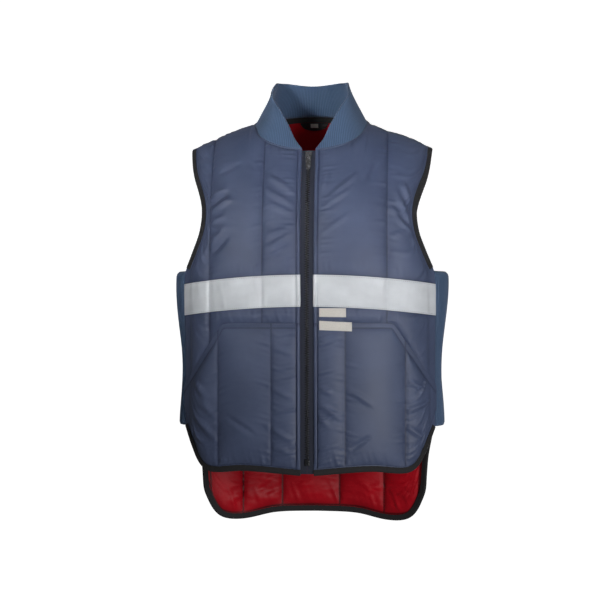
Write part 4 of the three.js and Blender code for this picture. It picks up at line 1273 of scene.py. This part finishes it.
def strip_section():
    """A closed U: out along one leg, round the fold, back along the other, and the same inside it."""

    def side(height):
        turn = np.linspace(np.pi / 2, 3 * np.pi / 2, 9)
        leg = np.linspace(STRIP_LEG, FOLD_CENTRE, 5)[:-1]
        top = np.stack([leg, np.full_like(leg, height)], axis=-1)
        fold = np.stack([FOLD_CENTRE + height * np.cos(turn), height * np.sin(turn)], axis=-1)
        return np.concatenate([top, fold, top[::-1] * (1, -1)])

    return np.concatenate([side(FOLD), side(FOLD - STRIP_WALL)[::-1]])


def folded_strip(name, edge, inward, normal, replaced, seed):
    """Carries the U along an edge, with a slow uneven swell and a few small ripples in its height."""
    edge, (inward, normal), places = even_path(edge, [unit(inward), unit(normal)], BINDING_STEP)
    edge, inward, normal = (averaged(values, 2) for values in (edge, inward, normal))
    tangent = unit(np.gradient(edge, axis=0))
    inward = unit(inward - tangent * np.sum(inward * tangent, axis=-1, keepdims=True))
    upward = np.cross(tangent, inward)
    upward *= np.sign(np.sum(upward * normal, axis=-1, keepdims=True))
    draw = np.random.default_rng(seed)
    swell_share = sum(np.sin(places / (w * MM) + draw.uniform(0, 6.3)) for w in (5.1, 8.7, 17.0)) / 3
    section = strip_section()
    tall = section[:, 1] * (1 + 0.07 * swell_share[:, None])
    net = edge[:, None] + inward[:, None] * section[:, :1] + upward[:, None] * tall[..., None]
    mesh = facing_out(make_mesh(name, net.reshape(-1, 3), *section_faces(*net.shape[:2])))
    around = np.cumsum(np.linalg.norm(np.diff(section, axis=0, prepend=section[:1]), axis=-1))
    add_uv(mesh, np.stack(np.broadcast_arrays(places[:, None], around), -1).reshape(-1, 2))
    piece = add_piece(name, mesh, binding_finish, [replaced], sharp=50)
    return SimpleNamespace(line=net[:, STITCHED_ROW], normals=upward)


# %% Hem, tail and armhole bindings
VENT_TOP = -493 * MM

for side in SIDES:
    net = side.net
    inward = net.points[:, net.rows[1]] - net.points[:, 0]
    side.hem = folded_strip(
        f"hem_strip_{side.name}", net.points[:, 0], inward, net.normals[:, 0],
        f"front_hem_binding_{side.name}", 40 + side.sign,
    )
    up = net.points[-1, :, 2] >= ARM_BASE
    at, inner = (0, 2) if side.sign < 0 else (-1, -3)
    down = np.flatnonzero(back.points[at, :, 2] >= ARM_BASE)[::-1]
    edge = np.concatenate([net.points[-1, up], back.points[at, down]])
    inward = np.concatenate([net.points[-3, up], back.points[inner, down]]) - edge
    normal = np.concatenate([net.normals[-1, up], back.normals[at, down]])
    side.armhole = folded_strip(
        f"armhole_strip_{side.name}", edge, inward, normal, f"armhole_binding_{side.name}", 50 + side.sign
    )

vent = np.flatnonzero(back.points[0, :, 2] <= VENT_TOP)[::-1]
tail_edge = [back.points[0, vent], back.points[1:-1, 0], back.points[-1, vent[::-1]]]
tail_inner = [back.points[2, vent], back.points[1:-1, back.rows[1]], back.points[-3, vent[::-1]]]
tail_normal = [back.normals[0, vent], back.normals[1:-1, 0], back.normals[-1, vent[::-1]]]
tail_inward = np.concatenate(tail_inner) - np.concatenate(tail_edge)
tail_strip = folded_strip(
    "tail_strip", np.concatenate(tail_edge), tail_inward, np.concatenate(tail_normal), "tail_binding", 60
)
print("tail strip", len(tail_strip.line), "stations")


# %% [markdown]
# The seam allowance of the collar is turned down under the shell and stands up beside the collar's foot as a
# narrow roll. It is a round cord along the neckline, closed at both ends.

# %% Roll of the collar seam
ROLL_RADIUS = 1.7 * MM
ROLL_SIDES = 10
ROLL_OUT, ROLL_UP = 2.7 * MM, 1.5 * MM


def round_cord(name, path, radius):
    """A circle carried along a level path, square to it: radius x (cos turn x outwards + sin turn x up)."""
    along = unit(np.gradient(path, axis=0))
    sideways = unit(np.cross(along, (0, 0, 1)))
    upwards = np.cross(sideways, along)
    turn = np.linspace(0, 2 * np.pi, ROLL_SIDES, endpoint=False)[:, None, None]
    net = path + radius * (np.cos(turn) * sideways + np.sin(turn) * upwards)
    rows = len(path)
    ends = np.arange(ROLL_SIDES) * rows
    faces = grid_faces(ROLL_SIDES, rows, ring=True)
    mesh = facing_out(make_mesh(name, net.reshape(-1, 3), faces, np.stack([ends[::-1], ends + rows - 1])))
    add_uv(mesh, arc_lengths(net).reshape(-1, 2))
    return mesh


seam_turn, seam_length = even_turns(240)
seam_foot = neck_path(seam_turn)
seam_out = unit(seam_foot * (1, 1, 0))
seam_path = averaged(seam_foot + seam_out * ROLL_OUT + np.array([0, 0, ROLL_UP]), 3)
roll_mesh = round_cord("collar_seam_roll", seam_path, ROLL_RADIUS)
roll = add_piece("collar_seam_roll", roll_mesh, shell_nylon, sharp=80)
print("collar seam", round(float(seam_length), 3), "m")


# %% [markdown]
# ## Zip
# The zip is moulded plastic on two woven tapes. A tooth is a small rounded block, one side's teeth staggered
# by half a pitch against the other's, and all of them are one mesh: the block's points are copied along the
# zip's path with broadcasting. Near the neck the path is straight, because the slider sits on it there.

# %% Path of the zip
STRAIGHT_FROM = -86.1 * MM
ZIP_FOOT = above(front_hem, SEAM)(np.array([PLACKET_EDGE]))[0]
ZIP_TOP = float(top_edge(np.array(PLACKET_EDGE), FRONT)[1])


def zip_path(z):
    """The placket's edge at the middle, y and z, straight over the last stretch below the neck."""
    bend = panel_y(np.full_like(z, PLACKET_EDGE), np.minimum(z, STRAIGHT_FROM), FRONT)
    ends = panel_y(np.full(2, PLACKET_EDGE), np.array([STRAIGHT_FROM, ZIP_TOP]), FRONT)
    straight = np.interp(z, [STRAIGHT_FROM, ZIP_TOP], ends)
    return np.stack([np.zeros_like(z), np.where(z < STRAIGHT_FROM, bend, straight), z], axis=-1)


def zip_frame(step, foot):
    """Evenly spaced places on the zip from its foot to the neck, with their directions up and out."""
    path, _, places = even_path(zip_path(np.linspace(foot, ZIP_TOP, 900)), [], step)
    upward = unit(np.gradient(path, axis=0))
    outward = np.stack([np.zeros(len(path)), -upward[:, 2], upward[:, 1]], axis=-1)
    return path, upward, outward, places


# %% Tapes and teeth
TOOTH_PITCH = 3.8 * MM
TEETH_FROM, TEETH_TO = 16 * MM, 17.5 * MM
TOOTH_HALF = np.array([2.35, 1.15, 1.6]) * MM
TOOTH_SHIFT = 1.35 * MM


def rounded_block(columns=10, rows=6, squareness=0.65):
    """A superellipsoid from -1 to 1: powers below 1 of the sine and cosine make a ball nearly a box."""

    def power(values):
        return np.sign(values) * np.abs(values) ** squareness

    turn = np.linspace(0, 2 * np.pi, columns, endpoint=False)[:, None] + np.pi / columns
    tilt = np.linspace(-np.pi / 2, np.pi / 2, rows + 2)[1:-1]
    round_x, round_y = (power(values) * power(np.cos(tilt)) for values in (np.cos(turn), np.sin(turn)))
    shape = np.broadcast_arrays(round_x, round_y, power(np.sin(tilt)))
    points = np.stack(shape, axis=-1).reshape(-1, 3)
    ends = np.arange(columns) * rows
    return points, grid_faces(columns, rows, ring=True), np.stack([ends[::-1], ends + rows - 1])


def copies(points, faces_list, places, axes):
    """One mesh's worth of a small shape set at many places: place + shape x the place's own three axes."""
    spread = places[:, None] + np.einsum("pk,nkd->npd", points, axes)
    numbers = np.arange(len(places))[:, None, None] * len(points)
    faces = [(each[None] + numbers).reshape(-1, each.shape[1]) for each in faces_list]
    return spread.reshape(-1, 3), faces


path, upward, outward, places = zip_frame(TOOTH_PITCH / 2, ZIP_FOOT)
on_chain = (places > TEETH_FROM) & (places < places[-1] - TEETH_TO)
hand = np.where(np.arange(len(path)) % 2, 1.0, -1.0)[on_chain, None]
sideways = np.array([1.0, 0, 0]) * hand
block, *block_faces = rounded_block()
axes = np.stack([sideways, upward[on_chain] * hand, outward[on_chain]], axis=1) * TOOTH_HALF[:, None]
points, faces = copies(block, block_faces, path[on_chain] + sideways * TOOTH_SHIFT, axes)
teeth = make_mesh("zip_teeth", points, *faces)


# %% [markdown]
# Plastic and metal of the zip are black: noise makes the gloss uneven, and gives a brighter tone in
# patches that stands for surfaces polished by use and, on the metal, also for painted glints.

# %% Zip finishes
def black_hardware(name, light, dark, metallic, roughness, wear_and_glint):
    """Black moulded or plated surface: fine pitting, uneven gloss and paler patches, worn spots and painted
    glints at once, whose edges are the sharper the higher their contrast."""
    hardware = Finish(name, {"Metallic": metallic, "IOR": 1.5})
    place = hardware.node("ShaderNodeTexCoord", {}, {}, output=3)
    rubbed_and_glint = hardware.noise(place, 230, 3)
    pits = hardware.noise(place, 1400, 2)
    # Paler patches: worn spots, and on the metal near-white painted glints.
    colour = hardware.mix(0.4 + wear_and_glint * (rubbed_and_glint - 0.5), dark, light)
    return hardware.finish(colour, roughness + 0.2 * rubbed_and_glint, pits, 0.03 * MM)


zip_plastic = black_hardware("zip_plastic", srgb(44, 45, 49), srgb(6, 6, 8), 0.0, 0.1, 1.0)
# The metal's near-white patches are painted glints as well as worn plating.
zip_metal = black_hardware("zip_metal", srgb(236, 236, 242), srgb(18, 18, 21), 0.9, 0.12, 2.6)
add_piece("zip_teeth", teeth, zip_plastic, ["zip_chain"], sharp=80)
print(int(on_chain.sum()), "teeth")

# %% Tapes of the zip
CLOTH_BACK, CLOTH_FACE = -0.7 * MM, 0.05 * MM
ZIP_GAP = 0.05 * MM
ABOVE_HEM = 1.5 * MM
tape_foot = float(front_hem(np.array(PLACKET_EDGE))) + ABOVE_HEM
path, upward, outward, places = zip_frame(5 * MM, tape_foot)
for side in SIDES:
    x = np.linspace(ZIP_GAP, PLACKET_EDGE - ZIP_GAP, 5) * side.sign
    middle = path[None] + x[:, None, None] * np.array([1.0, 0, 0])
    low, high = middle + outward * CLOTH_BACK, middle + outward * CLOTH_FACE
    name = f"zip_cloth_{side.name}"
    mesh = slab_mesh(name, low, high, arc_lengths(high), side.sign < 0)
    piece = add_piece(name, mesh, zip_tape_finish, [f"zip_tape_{side.name}"], sharp=50)


# %% [markdown]
# The slider, its pull tab and the retainer box are hard pieces whose solids already have the right shape.
# They only lack the small radius that every casting has, so each is copied, its triangles are joined again
# to whole faces, and its edges are bevelled. The pull tab swings on the slider, so it rides its own body.

# %% Bevelled hardware
def softened(name, node, finish, body, bevel):
    """A copy of a solid with merged points, flat faces joined again and a small round bevel."""
    work = bmesh.new()
    work.from_mesh(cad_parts[node].data)
    bmesh.ops.remove_doubles(work, verts=work.verts, dist=1e-6)
    bmesh.ops.dissolve_limit(work, angle_limit=math.radians(2), verts=work.verts, edges=work.edges)
    mesh = bpy.data.meshes.new(name)
    work.to_mesh(mesh)
    work.free()
    piece = add_piece(name, mesh, finish, [node], body)
    modifier = piece.modifiers.new("cast_radius", "BEVEL")
    modifier.width = bevel
    modifier.segments = 3
    modifier.limit_method = "ANGLE"
    modifier.angle_limit = math.radians(25)
    return piece


softened("slider_body", "zip_slider", zip_metal, BODY, 0.35 * MM)
softened("pull_tab_plate", "zip_pull_tab", zip_metal, "pull_tab", 0.3 * MM)
softened("retainer_box", "zip_retainer", zip_plastic, BODY, 0.5 * MM)


# %% [markdown]
# ## Labels and neck trim
# Two small woven labels are sewn to the right front, and a tape, a half-moon and a size tag to the lining at
# the back of the neck. All are left blank. Each is laid on the surface below it: the fine net of the padded
# piece is read at the label's own places, so the label bends as the cloth does.

# %% Patches on a surface
def on_surface(made, x, z):
    """Points and normals of a padded face at distances x and, for each, heights z, read along its columns
    before the tucks were added, because a stiff label lies over them."""
    middle = made.smooth[:, made.smooth.shape[1] // 2, 0]
    order = np.argsort(middle)
    column = np.interp(x, middle[order], order)
    low = np.clip(np.floor(column).astype(int), 0, len(middle) - 2)
    part = (column - low)[:, None, None]
    lines = made.smooth[low] * (1 - part) + made.smooth[low + 1] * part
    facing = unit(made.normals[low] * (1 - part) + made.normals[low + 1] * part)
    rows = np.stack([np.interp(heights, line[:, 2], np.arange(len(line))) for heights, line in zip(z, lines)])
    floor = np.clip(rows.astype(int), 0, lines.shape[1] - 2)
    share = (rows - floor)[..., None]

    def between(values):
        low = np.stack([value[index] for value, index in zip(values, floor)])
        high = np.stack([value[index + 1] for value, index in zip(values, floor)])
        return low * (1 - share) + high * share

    return between(lines), unit(between(facing))


def patch(name, node, made, x, z, lift, thick, finish, ease=0):
    """A thin closed patch on a surface; ease evens out its lift so that stiff cloth bridges small hollows."""
    at, facing = on_surface(made, x, z)
    for _ in range(ease):
        at[1:-1] = (at[:-2] + 2 * at[1:-1] + at[2:]) / 4
        at[:, 1:-1] = (at[:, :-2] + 2 * at[:, 1:-1] + at[:, 2:]) / 4
        wide = np.pad(facing, ((1, 1), (1, 1), (0, 0)), "edge")
        facing = unit(wide[:-2, 1:-1] + wide[2:, 1:-1] + wide[1:-1, :-2] + wide[1:-1, 2:])
    lift = np.broadcast_to(lift, z.shape)[..., None]
    low, high = at + facing * lift, at + facing * (lift + thick)
    turned = bool(np.sum(grid_normals(high) * facing) < 0)
    uv = arc_lengths(high)
    mesh = slab_mesh(name, low, high, uv, turned)
    piece = add_piece(name, mesh, finish, [node], sharp=50)
    return SimpleNamespace(piece=piece, uv=uv)


def upright_patch(x0, x1, z0, z1, columns, rows, tilt=0.0):
    """Places of a rectangular patch, in mm, slightly turned."""
    x = np.linspace(x0, x1, columns) * MM
    z = np.linspace(z0, z1, rows) * MM - tilt * (x - x0 * MM)[:, None]
    return x, z


LABEL_THICK = 0.6 * MM
right = SIDES[1]
upper_x, upper_z = upright_patch(20, 62, -313.5, -300, 43, 15, 0.01)
upper = patch(
    "blank_label_upper", "label_upper", right.shell, upper_x, upper_z, 1.0 * MM, LABEL_THICK,
    label_finish, 12,
)
lower_x, lower_z = upright_patch(20, 71, -334, -319.5, 52, 16, 0.04)
over_pocket = np.interp(lower_z / MM, (-330, -320), (4.0, 2.4)) * MM
lower = patch(
    "blank_label_lower", "label_lower", right.shell, lower_x, lower_z, over_pocket, LABEL_THICK,
    label_finish, 60,
)

# %% Neck trim
NECK_TAPE_HALF = 58 * MM
NECK_TAPE_LOW, NECK_TAPE_HIGH = -11.5 * MM, -0.8 * MM
MOON_HALF, MOON_DEPTH = 24 * MM, 13 * MM
MOON_SIDE, MOON_TOP = -12 * MM, -11.8 * MM
TAG_HALF = 6.5 * MM


def below_neck(x, rows):
    """Heights of a patch's rows, counted from the back's top edge at each distance x."""
    return top_edge(x, BACK)[1][:, None] + rows


neck_x = np.linspace(-NECK_TAPE_HALF, NECK_TAPE_HALF, 79)
neck_z = below_neck(neck_x, np.linspace(NECK_TAPE_LOW, NECK_TAPE_HIGH, 9))
neck_strip = patch(
    "neck_strip", "neck_tape", back_lining, neck_x, neck_z, 0.4 * MM, 0.8 * MM,
    binding_finish, 4,
)
moon_x = np.linspace(-MOON_HALF, MOON_HALF, 41)
moon_arch = np.sqrt(np.clip(1 - (moon_x / (MOON_HALF * 1.005)) ** 2, 0, 1))
moon_low = MOON_SIDE - MOON_DEPTH * moon_arch[:, None]
moon_z = below_neck(moon_x, moon_low + (MOON_TOP - moon_low) * np.linspace(0, 1, 12))
moon = patch(
    "half_moon_patch", "neck_label", back_lining, moon_x, moon_z, 0.5 * MM, 0.7 * MM,
    binding_finish, 4,
)
tag_x = np.linspace(-TAG_HALF, TAG_HALF, 14)
tag_z = below_neck(tag_x, np.linspace(-20, -13.5, 8) * MM)
tag = patch(
    "blank_size_tag", "size_tag", back_lining, tag_x, tag_z, 1.6 * MM, 0.5 * MM,
    label_finish, 4,
)


# %% [markdown]
# ## Stitches
# The seams are lockstitch: short threads that lie on the cloth and dive into it between two of them. A
# stitch is a small spindle, copied along every sewn line with its axes on the line's own directions. Each
# group of lines is one mesh: slate thread on the shell, red in the lining, black on bindings, grey on tape.

# %% Sewn lines
STITCH_PITCH = 3.6 * MM
STITCH_HALF = np.array([1.25, 0.36, 0.3]) * MM
TOP_STITCH = 2


def stitches(name, lines, finish):
    """Spindles at equal steps along each line, given as points and normals, joined to one mesh."""
    spindle, *faces = rounded_block(5, 3, 1.0)
    places, axes = [], []
    for points, normals in lines:
        path, (normal,), _ = even_path(points, [normals], STITCH_PITCH)
        along = unit(np.gradient(path, axis=0))
        across = unit(np.cross(normal, along))
        places.append(path[1:-1])
        axes.append(np.stack([along, across, np.cross(along, across)], axis=1)[1:-1] * STITCH_HALF[:, None])
    points, faces = copies(spindle, faces, np.concatenate(places), np.concatenate(axes))
    mesh = make_mesh(name, points, *faces)
    add_uv(mesh, points[:, ::2])
    add_piece(name, mesh, finish)
    print(name, sum(map(len, places)), "stitches")


def column_line(made, column, low=0, high=None):
    """One upright line of a padded face, by the number of its coarse column and of its first fine row."""
    return made.outer[2 * column, low:high], made.normals[2 * column, low:high]


def row_line(made, row, low=0, high=None):
    """One crossing line of a net, by the number of its fine row."""
    return made.outer[low:high, row], made.normals[low:high, row]


shell_lines, lining_lines, tape_lines, binding_lines = [], [], [], []
for side in SIDES:
    columns, rows = side.net.columns, side.net.rows
    waist, seam_row = 2 * rows[2], 2 * rows[1]
    shell_lines += [column_line(side.shell, column, waist) for column in columns[2:-2]]
    shell_lines.append(column_line(side.shell, columns[1], seam_row))
    at_neck = int(np.argmin(np.abs(np.abs(side.shell.outer[:, -1, 0]) - NECK_HALF)))
    shell_lines.append(row_line(side.shell, -TOP_STITCH - 2, 2 * columns[1], at_neck))
    shell_lines += [column_line(side.patch, column) for column in side.pocket.columns[1:-2]]
    shell_lines += [row_line(side.patch, row) for row in (2 * side.pocket.rows[1], -TOP_STITCH)]
    tape_lines += [row_line(side.tape, row) for row in (1, -2)]
    lining_lines += [column_line(side.lining, column) for column in side.lining_columns]
    binding_lines += [(strip.line, strip.normals) for strip in (side.hem, side.armhole)]
back_columns = back.columns[2:-2]
shell_lines += [column_line(back_shell, column) for column in back_columns]
lining_lines += [column_line(back_lining, column) for column in back_columns]
binding_lines.append((tail_strip.line, tail_strip.normals))
stitches("shell_stitches", shell_lines, slate_thread)
stitches("lining_stitches", lining_lines, red_thread)
stitches("tape_stitches", tape_lines, grey_thread)
stitches("binding_stitches", binding_lines, binding_finish)
